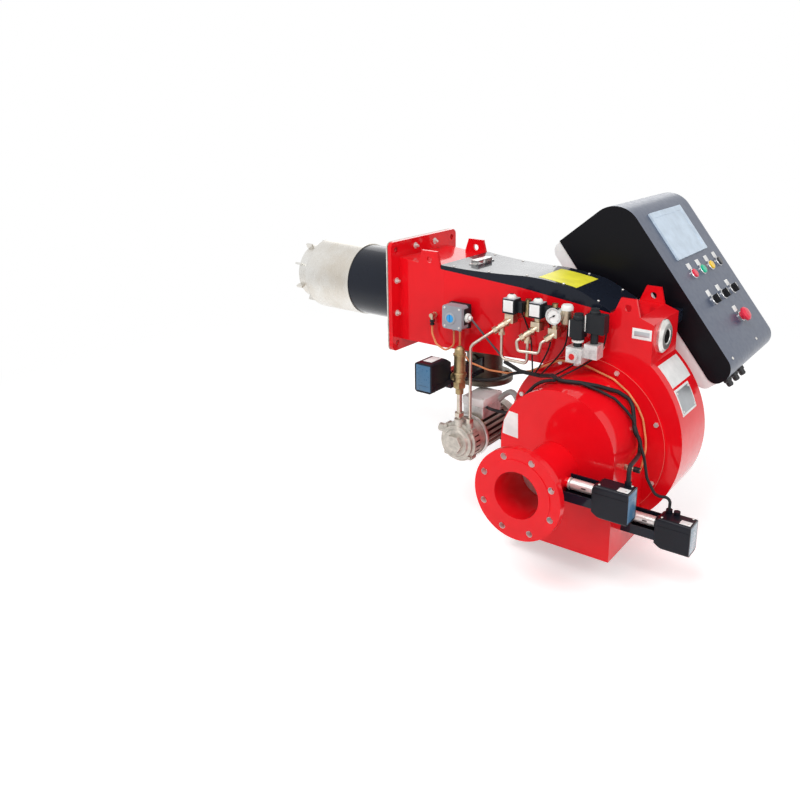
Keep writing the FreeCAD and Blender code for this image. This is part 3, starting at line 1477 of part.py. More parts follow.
gauge_low = d.gauge_z - d.gauge_r - 4


def valve_centre(k):
    return Vector(VALVE_PLACES[k], d.valve_y, d.valve_z - d.coil_height / 2 - 16 - 10 * k)


def chain_point(k, along):
    """Point on the line of fittings that leaves valve k."""
    return valve_centre(k) + Vector(8, -5, -1) + CHAIN_WAY * along


def fitting_chain(k):
    """Screwed fittings in a row: sleeve, nuts, and a tee with its branch."""
    reach = CHAIN_REACH[k]
    links = [bar(7, chain_point(k, 0), chain_point(k, reach))]
    for along, across, height in ((18, 20, 8), (reach - 12, 19, 12)):
        links.append(hexagon(across, height, chain_point(k, along), CHAIN_WAY))
    if TEE_AT[k]:
        tee = chain_point(k, TEE_AT[k])
        links.append(bar(9.5, tee - CHAIN_WAY * 9, tee + CHAIN_WAY * 9))
        links.append(bar(8, tee, tee - Z_AXIS * BRANCH))
        links.append(hexagon(18, 9, tee - Z_AXIS * (BRANCH - 9), Z_AXIS * -1))
    return links


def valve_body_set():
    bodies = []
    coil_low = d.valve_z - d.coil_height / 2
    for k, top in enumerate((coil_low, coil_low, gauge_low)):
        centre = valve_centre(k)
        body = block((28, 28, 26), centre)
        neck = bar(9, centre + Z_AXIS * 12, Vector(centre.x, d.valve_y, top))
        stem = hexagon(20, -d.housing_half - d.valve_y, centre, Y_AXIS)
        bodies.append(body.fuse([neck, stem] + fitting_chain(k)).cut(duct_line))
    return Part.makeCompound(bodies)


valve_bodies = valve_body_set()


def coil(centre, width, height):
    casing = block((width, width, height), centre)
    casing = casing.makeFillet(2.5, [edge for edge in casing.Edges if edge.BoundBox.ZLength > height / 2])
    plug = block((width * 0.7, width * 0.5, height * 0.6), centre + Y_AXIS * (width * 0.5))
    nut = hexagon(16, 8, centre + Z_AXIS * (height / 2), Z_AXIS)
    cap = bar(6, centre + Z_AXIS * (height / 2), centre + Z_AXIS * (height / 2 + 13))
    return casing.fuse([plug, nut, cap]).removeSplitter()


def oil_coil_set():
    coils = []
    for x in VALVE_PLACES[:2]:
        coils.append(coil(Vector(x, d.valve_y, d.valve_z), d.coil_width, d.coil_height))
    return Part.makeCompound(coils)


keep(solid_feature("oil_valve_coils", oil_coil_set()), "oil_valve_coils")


def gauge_case_shape():
    centre = Vector(d.third_valve_x, d.valve_y, d.gauge_z)
    case = turned(
        [(0, 4), (d.gauge_r - 3, 4), (d.gauge_r - 3, 0), (d.gauge_r, 0), (d.gauge_r, 6), (d.gauge_r - 2, d.gauge_depth),
         (0, d.gauge_depth)],
        centre - Y_AXIS * (d.gauge_depth / 2), Y_AXIS,
    )
    stem = bar(6, Vector(d.third_valve_x, d.valve_y, gauge_low), centre - Z_AXIS * (d.gauge_r - 4))
    pin_seat = bar(1.5, centre - Y_AXIS * (d.gauge_depth / 2), centre)
    return case.fuse(stem).cut(pin_seat).removeSplitter()


gauge_centre = Vector(d.third_valve_x, d.valve_y - d.gauge_depth / 2, d.gauge_z)
keep(solid_feature("pressure_gauge", gauge_case_shape()), "pressure_gauge")


def pointer_shape():
    pivot = gauge_centre + Y_AXIS * 2
    hub = bar(2.6, pivot - Y_AXIS * 0.6, pivot + Y_AXIS * 1)
    spindle = bar(1.45, pivot, gauge_centre + Y_AXIS * 7)
    reach = d.gauge_r - 7
    corners = [pivot + Vector(-1.4, 0, -6), pivot + Vector(1.4, 0, -6), pivot + Vector(0.4, 0, reach),
               pivot + Vector(-0.4, 0, reach)]
    blade = Part.Face(Part.makePolygon(corners + corners[:1])).extrude(Y_AXIS * 0.8)
    pointer = hub.fuse([spindle, blade]).removeSplitter()
    pointer.rotate(pivot, Y_AXIS, -120)
    return pointer


keep(solid_feature("gauge_pointer", pointer_shape()), "gauge_pointer")

# Pilot gas double valve


def pilot_body_shape():
    x = d.pilot_x
    z = d.pilot_z
    body = block((48, 46, 44), Vector(x, d.valve_y, z))
    plug = bar(15, Vector(x - 2, d.valve_y - 23, z - 2), Vector(x - 2, d.valve_y - 31, z - 2))
    second = block((40, 40, 40), Vector(x + 44, d.valve_y + 10, z + 14))
    stem = hexagon(24, -d.housing_half - d.valve_y - 20, Vector(x + 44, d.valve_y + 20, z + 14), Y_AXIS)
    tail = bar(9, Vector(x, d.valve_y, z - 22), Vector(x, d.valve_y, z - 34))
    return body.fuse([plug, second, stem, tail]).removeSplitter()


keep(solid_feature("pilot_valve_body", pilot_body_shape()), "pilot_valve_body")


def pilot_coil_set():
    x = d.pilot_x
    z = d.pilot_z
    first = coil(Vector(x, d.valve_y, z + 74), 38, 50)
    first_neck = bar(12, Vector(x, d.valve_y, z + 22), Vector(x, d.valve_y, z + 50))
    second = block((56, 32, 54), Vector(x + 49, d.valve_y + 14, z + 91))
    second = second.makeFillet(3, [edge for edge in second.Edges if edge.BoundBox.YLength > 30])
    second_neck = bar(11, Vector(x + 44, d.valve_y + 12, z + 34), Vector(x + 44, d.valve_y + 12, z + 66))
    return Part.makeCompound([first.fuse(first_neck).removeSplitter(), second.fuse(second_neck).removeSplitter()])


keep(solid_feature("pilot_valve_coils", pilot_coil_set()), "pilot_valve_coils")

# Air pressure switch on the near wall of the duct


def switch_shape():
    depth = d.switch_width * 0.75
    centre = Vector(d.switch_x, d.switch_front + depth / 2, d.switch_z)
    case = block((d.switch_width, depth, d.switch_height), centre)
    case = case.makeFillet(9, [edge for edge in case.Edges if edge.BoundBox.YLength > depth / 2])
    gland = bar(9, centre + X_AXIS * (d.switch_width / 2 - 1), centre + X_AXIS * (d.switch_width / 2 + 12))
    nipples = [bar(5, Vector(d.switch_x + x, centre.y, d.switch_z - d.switch_height / 2 + 1),
                   Vector(d.switch_x + x, centre.y, d.switch_z - d.switch_height / 2 - 10)) for x in (-10, 12)]
    foot = block((44, 60, 40), Vector(d.switch_x, d.switch_front + depth + 10, d.switch_z))
    recess = bar(d.dial_r + 0.2, Vector(d.switch_x - 6, d.switch_front - 1, d.switch_z - 3),
                 Vector(d.switch_x - 6, d.switch_front + 4, d.switch_z - 3))
    whole = case.fuse([gland, foot] + nipples).cut([duct_line, recess])
    return max(whole.Solids, key=lambda solid: solid.Volume).removeSplitter()


keep(solid_feature("air_pressure_switch", switch_shape()), "air_pressure_switch")


def dial_shape():
    seat = Vector(d.switch_x - 6, d.switch_front + 3.9, d.switch_z - 3)
    dial = bar(d.dial_r, seat, seat - Y_AXIS * 6)
    slot = block((3, 4, 2 * d.dial_r), seat - Y_AXIS * 6)
    return dial.cut(slot)


keep(solid_feature("switch_dial", dial_shape()), "switch_dial")

# Oil pipes


def oil_pipe_set():
    radius = d.oil_pipe_r
    pump_top = d.pump_z + 66
    riser = bar(d.riser_r, Vector(d.riser_x, d.riser_y, d.pump_z + d.pump_r + 12),
                Vector(d.riser_x, d.riser_y, d.regulator_bottom))
    riser = riser.fuse(hexagon(26, 12, Vector(d.riser_x, d.riser_y, d.pump_z + d.pump_r + 20), Z_AXIS))
    outlet = Vector(d.riser_x + 34, d.riser_y + 6, pump_top)
    nut = hexagon(20, 14, outlet, Z_AXIS)
    ends = [chain_point(k, CHAIN_REACH[k]) for k in range(3)]
    tees = [chain_point(k, TEE_AT[k]) - Z_AXIS * BRANCH for k in range(2)]
    knee = ends[0] + CHAIN_WAY * ((ends[0].x - outlet.x) / -CHAIN_WAY.x)
    feed = routed_tube([outlet, Vector(outlet.x, outlet.y, knee.z), ends[0] + CHAIN_WAY * 14, ends[0]], radius, 26)
    bottom = tees[0] - Z_AXIS * 73
    loop = routed_tube([tees[0], bottom, Vector(tees[1].x, tees[1].y, bottom.z), tees[1]], radius, 14)
    down = ends[1] + CHAIN_WAY * 13
    low = down.z - 28
    near = ends[2] + CHAIN_WAY * 14
    link = routed_tube([ends[1], down, Vector(down.x + 5, down.y, low), Vector(near.x - 6, near.y, low), near, ends[2]],
                       radius, 9)
    return Part.makeCompound([riser, feed.fuse(nut), loop, link])


keep(solid_feature("oil_pipes", oil_pipe_set()), "oil_pipes")

# Impulse tubes of the pressure switch


BOX_NIPPLE = Vector(d.box_x + d.box_r, -228, -331)
DUCT_NIPPLE = Vector(158, -d.duct_half, -38)


def impulse_tube_set():
    radius = d.tube_size_r
    nipple_z = d.switch_z - d.switch_height / 2 - 10
    depth = d.switch_front + d.switch_width * 0.375
    wall_y = ring_front - 10
    hug = d.box_r + 8
    hug_turns = [math.radians(angle) for angle in (66, 48.5, 34, 21.5, 2.5)]
    first = routed_tube(
        [(d.switch_x - 10, depth, nipple_z), (d.switch_x - 10, depth, -118), (212, depth + 2, -140),
         (176, depth + 4, -126), (158, -151, -96), (158, -151, -56)], radius, 22,
    )
    second = routed_tube(
        [(d.switch_x + 12, depth, nipple_z), (d.switch_x + 12, depth, -124), (292, -140, -168), (345, -118, -188),
         (410, wall_y, -188), (485, wall_y, -166), (582, wall_y, -114), (662, wall_y, -114)]
        + [(d.box_x + hug * math.cos(turn), wall_y, d.box_z + hug * math.sin(turn)) for turn in hug_turns]
        + [(d.box_x + hug + 4, wall_y - 6, -320), (d.box_x + hug + 14, -165, -350), (BOX_NIPPLE.x + 42, BOX_NIPPLE.y, BOX_NIPPLE.z),
           (BOX_NIPPLE.x + 24, BOX_NIPPLE.y, BOX_NIPPLE.z)], radius, 24,
    )
    return Part.makeCompound([first, second])


keep(solid_feature("impulse_tubes", impulse_tube_set()), "impulse_tubes")


def nipple_set():
    elbow = DUCT_NIPPLE - Y_AXIS * 18
    first = bar(7, DUCT_NIPPLE, elbow - Y_AXIS * 7)
    first = first.fuse([hexagon(15, 6, DUCT_NIPPLE, Y_AXIS * -1), bar(5, elbow, elbow - Z_AXIS * 18)])
    second = bar(6, BOX_NIPPLE, BOX_NIPPLE + X_AXIS * 24)
    second = second.fuse(hexagon(15, 6, BOX_NIPPLE, X_AXIS))
    return Part.makeCompound([first, second])


keep(solid_feature("brass_fittings", Part.makeCompound(valve_bodies.Solids + nipple_set().Solids)), "brass_fittings")

# Wiring harness


def harness_set():
    radius = d.harness_r
    hug = ring_front - 24
    top = d.servo_above_shaft + GLAND_HEIGHT
    x, y = RECIRCULATION_GLANDS[0]
    first_gland = Vector(d.recirculation_servo_x + x, d.disc_y + y, d.pipe_z + top)
    x, y = AIR_GLANDS[0]
    second_gland = Vector(d.air_servo_x + x, flap_y + y, d.flap_z + top)
    trunk = routed_tube(
        [(405, hug, -148), (460, hug, -168), (530, hug, -168), (610, -205, -128), (656, -250, -121),
         (707, -231, -122), (745, -198, -133), (785, -154, -154), (811, -135, -175), (826, -143, -192),
         (841, -165, -218), (853, -185, -246), (861, -158, -276), (868, -176, -308), (892, -262, -284),
         first_gland + Z_AXIS * 42, first_gland], radius, 30,
    )
    branch = routed_tube(
        [(707, -231, -122), (756, -214, -139), (794, -194, -160), (825, -182, -192), (843, -174, -217),
         (887, -190, -310), (899, -190, -366), (926, -188, -412), second_gland + Z_AXIS * 34, second_gland],
        radius * 0.7, 24,
    )
    return trunk.fuse(branch).removeSplitter()


keep(solid_feature("wiring_harness", harness_set()), "wiring_harness")

# Build, check and write

doc.recompute()
for thing in doc.Objects:
    for flag in ("Invalid", "Error"):
        if flag in thing.State:
            raise RuntimeError("%s is %s" % (thing.Label, flag))
os.makedirs("parts", exist_ok=True)
for subpart in subparts:
    shape = subpart.Shape
    if shape.isNull() or not shape.isValid():
        raise RuntimeError("%s has no valid shape" % subpart.Label)
for subpart in subparts:
    subpart.Shape.exportStep("parts/%s.step" % subpart.Label)
    print("%-24s %d solids %12.1f mm3" % (subpart.Label, len(subpart.Shape.Solids), subpart.Shape.Volume))
print(len(subparts), "sub-parts")
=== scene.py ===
import json
import math

import bmesh
import bpy
from mathutils import Matrix, Vector
from mathutils.bvhtree import BVHTree


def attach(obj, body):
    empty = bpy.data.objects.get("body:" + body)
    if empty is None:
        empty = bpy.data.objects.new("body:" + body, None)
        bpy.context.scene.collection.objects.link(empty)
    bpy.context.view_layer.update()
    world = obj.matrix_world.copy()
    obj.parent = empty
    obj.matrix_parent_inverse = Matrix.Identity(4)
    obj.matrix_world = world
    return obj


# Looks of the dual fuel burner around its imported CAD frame. Metres, same frame as the CAD.

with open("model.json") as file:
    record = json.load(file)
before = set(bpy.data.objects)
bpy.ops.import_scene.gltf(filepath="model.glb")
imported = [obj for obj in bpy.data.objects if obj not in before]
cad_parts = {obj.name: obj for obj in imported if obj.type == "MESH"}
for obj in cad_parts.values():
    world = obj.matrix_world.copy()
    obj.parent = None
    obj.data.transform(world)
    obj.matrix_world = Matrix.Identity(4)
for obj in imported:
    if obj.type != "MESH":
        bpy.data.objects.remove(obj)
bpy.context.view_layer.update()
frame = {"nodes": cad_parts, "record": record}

# Directions: the flame tube points to -X, and the valves are on the -Y side
RIGHT = Vector((1, 0, 0))
AWAY = Vector((0, 1, 0))
FRONT = Vector((0, -1, 0))
UP = Vector((0, 0, 1))
DOWN = Vector((0, 0, -1))

# Places and sizes that the dressing shares with the CAD
PANEL_TILT = math.radians(39)
DOWN_SLOPE = Vector((math.sin(PANEL_TILT), 0, -math.cos(PANEL_TILT)))
OUTWARD = Vector((math.cos(PANEL_TILT), 0, math.sin(PANEL_TILT)))
PANEL_REACH = 0.7065
SCREEN_CENTRE = (0.300, 0.353)
SCREEN_SIZE = (0.112, 0.222)
BUTTON_ROW = 0.439
BUTTON_COLUMNS = (0.272, 0.351, 0.430, 0.509)
SELECTOR_ROW = 0.538
SELECTOR_COLUMNS = (0.297, 0.389, 0.481)
SELECTORS = ("fuel_selector", "mode_selector", "firing_rate_selector")
STOP_PLACE = (0.625, 0.411)
FAN_CENTRE = Vector((0.668, 0, -0.335))
SCROLL_BACK_RADIUS = 0.303
RING_FRONT_Y = -0.1001
RING_RADIUS = 0.2440
BOX_FRONT_Y = -0.302
PIPE_CENTRE = Vector((0.676, -0.5025, -0.349))
PIPE_BOLT_RADIUS = 0.105
PIPE_BOLTS = 8
COIL_PLACES = (Vector((0.440, -0.150, 0.036)), Vector((0.526, -0.150, 0.036)))
COIL_SIZE = 0.040
GAUGE_CENTRE = Vector((0.582, -0.163, 0.028))
THIRD_VALVE = Vector((0.6085, -0.130, 0.004))
PILOT_COIL = Vector((0.655, -0.150, 0.004))
WIDE_COIL = Vector((0.704, -0.136, 0.021))
PILOT_BODY = Vector((0.655, -0.150, -0.070))
SWITCH_FACE = Vector((0.255, -0.185, -0.023))
SWITCH_GLAND = Vector((0.292, -0.1588, -0.023))
DIAL_CENTRE = Vector((0.249, -0.185, -0.026))
DUCT_NIPPLE_END = Vector((0.158, -0.151, -0.068))
BOX_NIPPLE_END = Vector((0.876, -0.228, -0.331))
PUMP_AXIS = Vector((0.314, 0, -0.390))
TERMINAL_LID = Vector((0.314, -0.102, -0.287))
SIGHT_GLASS = Vector((0.8515, -0.020, -0.016))
RECIRCULATION_MOTOR = Vector((0.833, -0.365, -0.349))
AIR_MOTOR = Vector((0.946, -0.201, -0.481))
GAS_MOTOR = Vector((0.256, -0.233, -0.188))
MOTOR_LENGTH = 0.097
MOTOR_TOP = 0.029
MOTOR_BOTTOM = -0.061
MOTOR_HALF = 0.030

# Usual thicknesses of the flat pieces
LABEL_THICK = 0.0006
TAG_THICK = 0.0015

# Node materials

# Most of a noise texture's values lie between these two
NOISE_LOW = 0.25
NOISE_HIGH = 0.75


class Look:
    """A node material around one Principled shader."""

    def __init__(self, name, metallic, roughness, coat=0.0, coat_roughness=0.1, specular=0.5):
        self.material = bpy.data.materials.new(name)
        self.material.use_nodes = True
        self.nodes = self.material.node_tree.nodes
        self.links = self.material.node_tree.links
        self.nodes.clear()
        self.shader = self.nodes.new("ShaderNodeBsdfPrincipled")
        output = self.nodes.new("ShaderNodeOutputMaterial")
        self.links.new(self.shader.outputs["BSDF"], output.inputs["Surface"])
        self.shader.inputs["Metallic"].default_value = metallic
        self.shader.inputs["Roughness"].default_value = roughness
        self.shader.inputs["Coat Weight"].default_value = coat
        self.shader.inputs["Coat Roughness"].default_value = coat_roughness
        self.shader.inputs["Specular IOR Level"].default_value = specular
        self.coordinates = self.nodes.new("ShaderNodeTexCoord").outputs["Object"]

    def stretched(self, scale):
        """Object coordinates, scaled differently along each axis."""
        mapping = self.nodes.new("ShaderNodeMapping")
        mapping.inputs["Scale"].default_value = scale
        self.links.new(self.coordinates, mapping.inputs["Vector"])
        return mapping.outputs["Vector"]

    def noise(self, scale, detail, stretch=None, roughness=0.55):
        texture = self.nodes.new("ShaderNodeTexNoise")
        texture.inputs["Scale"].default_value = scale
        texture.inputs["Detail"].default_value = detail
        texture.inputs["Roughness"].default_value = roughness
        source = self.stretched(stretch) if stretch else self.coordinates
        self.links.new(source, texture.inputs["Vector"])
        return texture.outputs["Fac"]

    def cells(self, scale):
        texture = self.nodes.new("ShaderNodeTexVoronoi")
        texture.inputs["Scale"].default_value = scale
        self.links.new(self.coordinates, texture.inputs["Vector"])
        return texture.outputs["Color"]

    def ramp(self, value, low, high):
        """Colour between two (position, colour) stops."""
        node = self.nodes.new("ShaderNodeValToRGB")
        for element, (position, colour) in zip(node.color_ramp.elements, (low, high)):
            element.position = position
            element.color = (*colour, 1)
        self.links.new(value, node.inputs["Fac"])
        return node.outputs["Color"]

    def mapped(self, value, span, low, high):
        """Maps a value that runs over the span to numbers from low to high."""
        node = self.nodes.new("ShaderNodeMapRange")
        node.inputs["From Min"].default_value = span[0]
        node.inputs["From Max"].default_value = span[1]
        node.inputs["To Min"].default_value = low
        node.inputs["To Max"].default_value = high
        self.links.new(value, node.inputs["Value"])
        return node.outputs["Result"]

    def colour(self, source):
        self.links.new(source, self.shader.inputs["Base Color"])

    def rough(self, texture, low, high):
        """Roughness from low to high by a texture."""
        level = self.mapped(texture, (NOISE_LOW, NOISE_HIGH), low, high)
        self.links.new(level, self.shader.inputs["Roughness"])

    def bump(self, height, depth, strength):
        """Raises the surface by a texture; depth is in metres."""
        node = self.nodes.new("ShaderNodeBump")
        node.inputs["Distance"].default_value = depth
        node.inputs["Strength"].default_value = strength
        self.links.new(height, node.inputs["Height"])
        self.links.new(node.outputs["Normal"], self.shader.inputs["Normal"])


def shade(colour, factor):
    return tuple(min(1.0, channel * factor) for channel in colour)


def enamel(name, colour, roughness, coat, specular=0.4, coat_ior=1.5):
    """Sprayed gloss paint with orange peel and faint patches."""
    look = Look(name, 0.0, roughness, coat, 0.06, specular)
    look.shader.inputs["Coat IOR"].default_value = coat_ior
    look.colour(look.ramp(look.noise(6, 4), (0.3, shade(colour, 0.9)), (0.7, shade(colour, 1.06))))
    look.rough(look.noise(35, 3), roughness - 0.05, roughness + 0.07)
    look.bump(look.noise(420, 2), 0.00004, 0.5)
    return look.material


def powder_coat(name, colour, roughness):
    """Textured powder paint, as on the cabinet's tray."""
    look = Look(name, 0.0, roughness, 0.12, 0.3)
    look.colour(look.ramp(look.noise(9, 4), (0.3, shade(colour, 0.88)), (0.7, shade(colour, 1.12))))
    look.rough(look.noise(60, 2), roughness - 0.06, roughness + 0.08)
    look.bump(look.noise(1100, 3), 0.00004, 0.6)
    return look.material


def facing_shaded(name, front, side):
    """Cabinet hood: satin front and wrap, with painted shade on the sides that face along Y, coloured
    near black by their facing.
    """
    side_span = (0.6, 0.8)
    look = Look(name, 0.0, 0.36, 0.0, 0.25)
    normal = look.nodes.new("ShaderNodeNewGeometry")
    parts = look.nodes.new("ShaderNodeSeparateXYZ")
    look.links.new(normal.outputs["Normal"], parts.inputs["Vector"])
    sideways = look.nodes.new("ShaderNodeMath")
    sideways.operation = "ABSOLUTE"
    look.links.new(parts.outputs["Y"], sideways.inputs[0])
    facing_side = sideways.outputs["Value"]
    # Painted shade: the colour turns near black where the normal faces along Y
    look.colour(look.ramp(facing_side, (side_span[0], front), (side_span[1], side)))
    for socket, on_front, on_side in (("Specular IOR Level", 0.5, 0.08), ("Coat Weight", 0.35, 0.12)):
        level = look.mapped(facing_side, side_span, on_front, on_side)
        look.links.new(level, look.shader.inputs[socket])
    look.rough(look.noise(60, 2), 0.32, 0.44)
    look.bump(look.noise(1100, 3), 0.00006, 0.5)
    return look.material


def brushed(name, colour, roughness, stretch, tint=None):
    """Metal with brush marks, long where the stretch is small, and tinted patches."""
    look = Look(name, 1.0, roughness)
    marks = look.noise(90, 5, stretch)
    patch = tint if tint else shade(colour, 0.72)
    look.colour(look.ramp(look.noise(5, 5, roughness=0.65), (0.32, patch), (0.62, colour)))
    look.rough(marks, roughness - 0.09, roughness + 0.13)
    look.bump(marks, 0.00003, 0.7)
    return look.material


def cast_metal(name, colour, roughness, metallic, grain):
    """Sand cast surface: coarse grain over slow lumps."""
    look = Look(name, metallic, roughness)
    lumps = look.noise(45, 6, roughness=0.7)
    look.colour(look.ramp(lumps, (0.3, shade(colour, 0.6)), (0.68, shade(colour, 1.1))))
    look.rough(look.noise(120, 3), roughness - 0.08, roughness + 0.14)
    look.bump(look.noise(650, 4, roughness=0.7), grain, 0.8)
    return look.material


def spangled(name, colour):
    """Hot dip galvanised sheet with its crystal pattern."""
    look = Look(name, 0.9, 0.4)
    crystals = look.cells(85)
    look.colour(look.ramp(crystals, (0.1, shade(colour, 0.72)), (0.9, shade(colour, 1.15))))
    look.rough(crystals, 0.32, 0.52)
    look.bump(look.noise(300, 3), 0.00003, 0.5)
    return look.material


def plastic(name, colour, roughness, grain=0.00003, coat=0.0, specular=0.4):
    """Moulded plastic with a fine eroded grain."""
    look = Look(name, 0.0, roughness, coat, 0.15, specular)
    look.colour(look.ramp(look.noise(25, 3), (0.3, shade(colour, 0.9)), (0.7, shade(colour, 1.08))))
    look.rough(look.noise(150, 2), roughness - 0.05, roughness + 0.06)
    look.bump(look.noise(1500, 2), grain, 0.6)
    return look.material


def rubber(name, colour, roughness):
    """Dull rubber or cable sheath."""
    look = Look(name, 0.0, roughness, specular=0.22)
    look.colour(look.ramp(look.noise(40, 3), (0.3, shade(colour, 0.8)), (0.7, shade(colour, 1.15))))
    look.rough(look.noise(200, 2), roughness - 0.08, roughness + 0.08)
    look.bump(look.noise(900, 2), 0.00004, 0.5)
    return look.material


def turned_metal(name, colour, roughness, metallic=1.0):
    """Machined or plated metal with faint handling marks."""
    look = Look(name, metallic, roughness)
    look.colour(look.ramp(look.noise(60, 4), (0.3, shade(colour, 0.8)), (0.7, colour)))
    look.rough(look.noise(260, 3), roughness - 0.05, roughness + 0.1)
    look.bump(look.noise(1400, 2), 0.00001, 0.5)
    return look.material


def dark_glass(name, tint):
    """Sooted sight glass, a fifth of it clear."""
    look = Look(name, 0.0, 0.03)
    look.shader.inputs["Transmission Weight"].default_value = 0.2
    look.shader.inputs["IOR"].default_value = 1.45
    look.colour(look.ramp(look.noise(30, 2), (0.3, shade(tint, 0.95)), (0.7, tint)))
    return look.material


MATERIALS = {
    "red_paint": enamel("red_paint", (0.76, 0.004, 0.010), 0.35, 1.0, 0.05, 1.28),
    "black_paint": enamel("black_paint", (0.007, 0.010, 0.019), 0.3, 1.0, 0.05, 1.28),
    # The cabinet's sides that face along Y get painted shade, near black
    "cabinet_paint": facing_shaded("cabinet_paint", (0.046, 0.066, 0.116), (0.004, 0.004, 0.006)),
    "white_paint": powder_coat("white_paint", (0.88, 0.88, 0.88), 0.4),
    "gasket": rubber("gasket", (0.74, 0.72, 0.66), 0.85),
    "stainless": brushed("stainless", (0.74, 0.73, 0.70), 0.3, (9, 0.6, 0.6), (0.60, 0.55, 0.48)),
    "heat_steel": brushed("heat_steel", (0.3, 0.29, 0.29), 0.42, (6, 1, 1)),
    "zinc": turned_metal("zinc", (0.80, 0.78, 0.74), 0.34, 0.6),
    "brass": cast_metal("brass", (0.66, 0.55, 0.41), 0.38, 1.0, 0.00008),
    "galvanised": spangled("galvanised", (0.5, 0.51, 0.52)),
    "motor_casting": cast_metal("motor_casting", (0.3, 0.31, 0.32), 0.45, 0.75, 0.00022),
    "motor_cowl": enamel("motor_cowl", (0.17, 0.18, 0.19), 0.42, 0.2),
    "bright_steel": turned_metal("bright_steel", (0.74, 0.73, 0.71), 0.2),
    "oil_pipe": turned_metal("oil_pipe", (0.62, 0.55, 0.47), 0.32),
    "servo_plastic": plastic("servo_plastic", (0.006, 0.007, 0.012), 0.34, 0.00004, 0.0, 0.22),
    "coil_plastic": plastic("coil_plastic", (0.010, 0.012, 0.015), 0.45, specular=0.25),
    "valve_aluminium": cast_metal("valve_aluminium", (0.78, 0.78, 0.77), 0.4, 0.6, 0.0001),
    "switch_plastic": plastic("switch_plastic", (0.3, 0.31, 0.35), 0.4),
    "dial_blue": plastic("dial_blue", (0.03, 0.33, 0.72), 0.3),
    "orange_tube": rubber("orange_tube", (0.72, 0.27, 0.11), 0.4),
    "cable_black": rubber("cable_black", (0.014, 0.014, 0.016), 0.5),
    "screen": plastic("screen", (0.55, 0.65, 0.76), 0.35),
    "bezel": turned_metal("bezel", (0.7, 0.7, 0.71), 0.2),
    "button_red": plastic("button_red", (0.74, 0.02, 0.06), 0.25, 0.00001, 0.3),
    "button_green": plastic("button_green", (0.0, 0.47, 0.27), 0.25, 0.00001, 0.3),
    "button_yellow": plastic("button_yellow", (0.86, 0.56, 0.03), 0.25, 0.00001, 0.3),
    "button_black": plastic("button_black", (0.02, 0.022, 0.028), 0.25, 0.00001, 0.3),
    "selector_black": plastic("selector_black", (0.012, 0.012, 0.014), 0.35),
    "stop_red": plastic("stop_red", (0.74, 0.02, 0.055), 0.3, 0.00002, 0.25),
    "gauge": turned_metal("gauge", (0.72, 0.72, 0.71), 0.22),
    "pointer_black": plastic("pointer_black", (0.01, 0.01, 0.01), 0.4),
    "sight_metal": turned_metal("sight_metal", (0.78, 0.77, 0.74), 0.3),
    "glass": dark_glass("glass", (0.02, 0.02, 0.022)),
    "gland_plastic": plastic("gland_plastic", (0.02, 0.02, 0.022), 0.45),
    "label_white": plastic("label_white", (0.8, 0.8, 0.79), 0.45, 0.00001),
    "label_yellow": plastic("label_yellow", (0.8, 0.74, 0.04), 0.4, 0.00001),
    "label_silver": brushed("label_silver", (0.52, 0.54, 0.56), 0.35, (1, 8, 8)),
    "face_grey": plastic("face_grey", (0.36, 0.38, 0.41), 0.35, 0.00001, 0.2),
    "screen_film": plastic("screen_film", (0.55, 0.68, 0.78), 0.22, 0.00001, 0.3),
    "dial_white": plastic("dial_white", (0.82, 0.82, 0.8), 0.4, 0.00001),
    "aged_brass": cast_metal("aged_brass", (0.45, 0.34, 0.18), 0.38, 1.0, 0.00006),
    "dull_steel": cast_metal("dull_steel", (0.16, 0.14, 0.11), 0.5, 0.8, 0.00015),
    "pump_aluminium": cast_metal("pump_aluminium", (0.60, 0.56, 0.50), 0.46, 0.55, 0.00016),
    "plug_red": plastic("plug_red", (0.62, 0.01, 0.01), 0.35),
    "plastic_white": plastic("plastic_white", (0.8, 0.79, 0.76), 0.4, 0.00002),
    "hose_grey": rubber("hose_grey", (0.42, 0.43, 0.42), 0.5),
    "cable_grey": rubber("cable_grey", (0.1, 0.09, 0.1), 0.45),
    "servo_face": plastic("servo_face", (0.045, 0.14, 0.26), 0.3, 0.00001, 0.2),
    "servo_pane": plastic("servo_pane", (0.27, 0.34, 0.40), 0.25, 0.00001, 0.3),
    "satin_silver": turned_metal("satin_silver", (0.80, 0.79, 0.77), 0.36, 0.6),
    # Pale red of the painted highlight on the inlet ring's edge
    "painted_rim_highlight": plastic("painted_rim_highlight", (0.85, 0.16, 0.13), 0.35),
    "frame_grey": plastic("frame_grey", (0.17, 0.22, 0.28), 0.4),
    "coil_top": plastic("coil_top", (0.42, 0.42, 0.45), 0.45),
    # Near black for painted shade in slots, gaps and the sight glass's bore
    "painted_shade": rubber("painted_shade", (0.012, 0.011, 0.010), 0.7),
    "lid_white": plastic("lid_white", (0.92, 0.92, 0.91), 0.4, 0.00002),
}

# CAD nodes that look different from the rest of their record slot
NODE_LOOKS = {
    "oil_regulator": "aged_brass",
    "gas_valve": "dull_steel",
    "oil_pump": "pump_aluminium",
    "pump_lantern": "pump_aluminium",
    "pump_terminal_box": "valve_aluminium",
    "pump_motor": "pump_aluminium",
    "recirculation_damper": "satin_silver",
}

for entry in frame["record"]["subparts"]:
    node = frame["nodes"][entry["node"]]
    finish = MATERIALS[NODE_LOOKS.get(entry["node"], entry["material_slot"])]
    node.data.materials.clear()
    node.data.materials.append(finish)

# Piece builders

# Edges that turn by more than this are shaded sharp
SHARP_ANGLE = math.radians(35)


def new_piece(name, data, material, body="burner"):
    """Object in the scene that rides on a body, with the given material."""
    piece = bpy.data.objects.new(name, data)
    bpy.context.scene.collection.objects.link(piece)
    piece.data.materials.append(MATERIALS[material])
    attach(piece, body)
    return piece


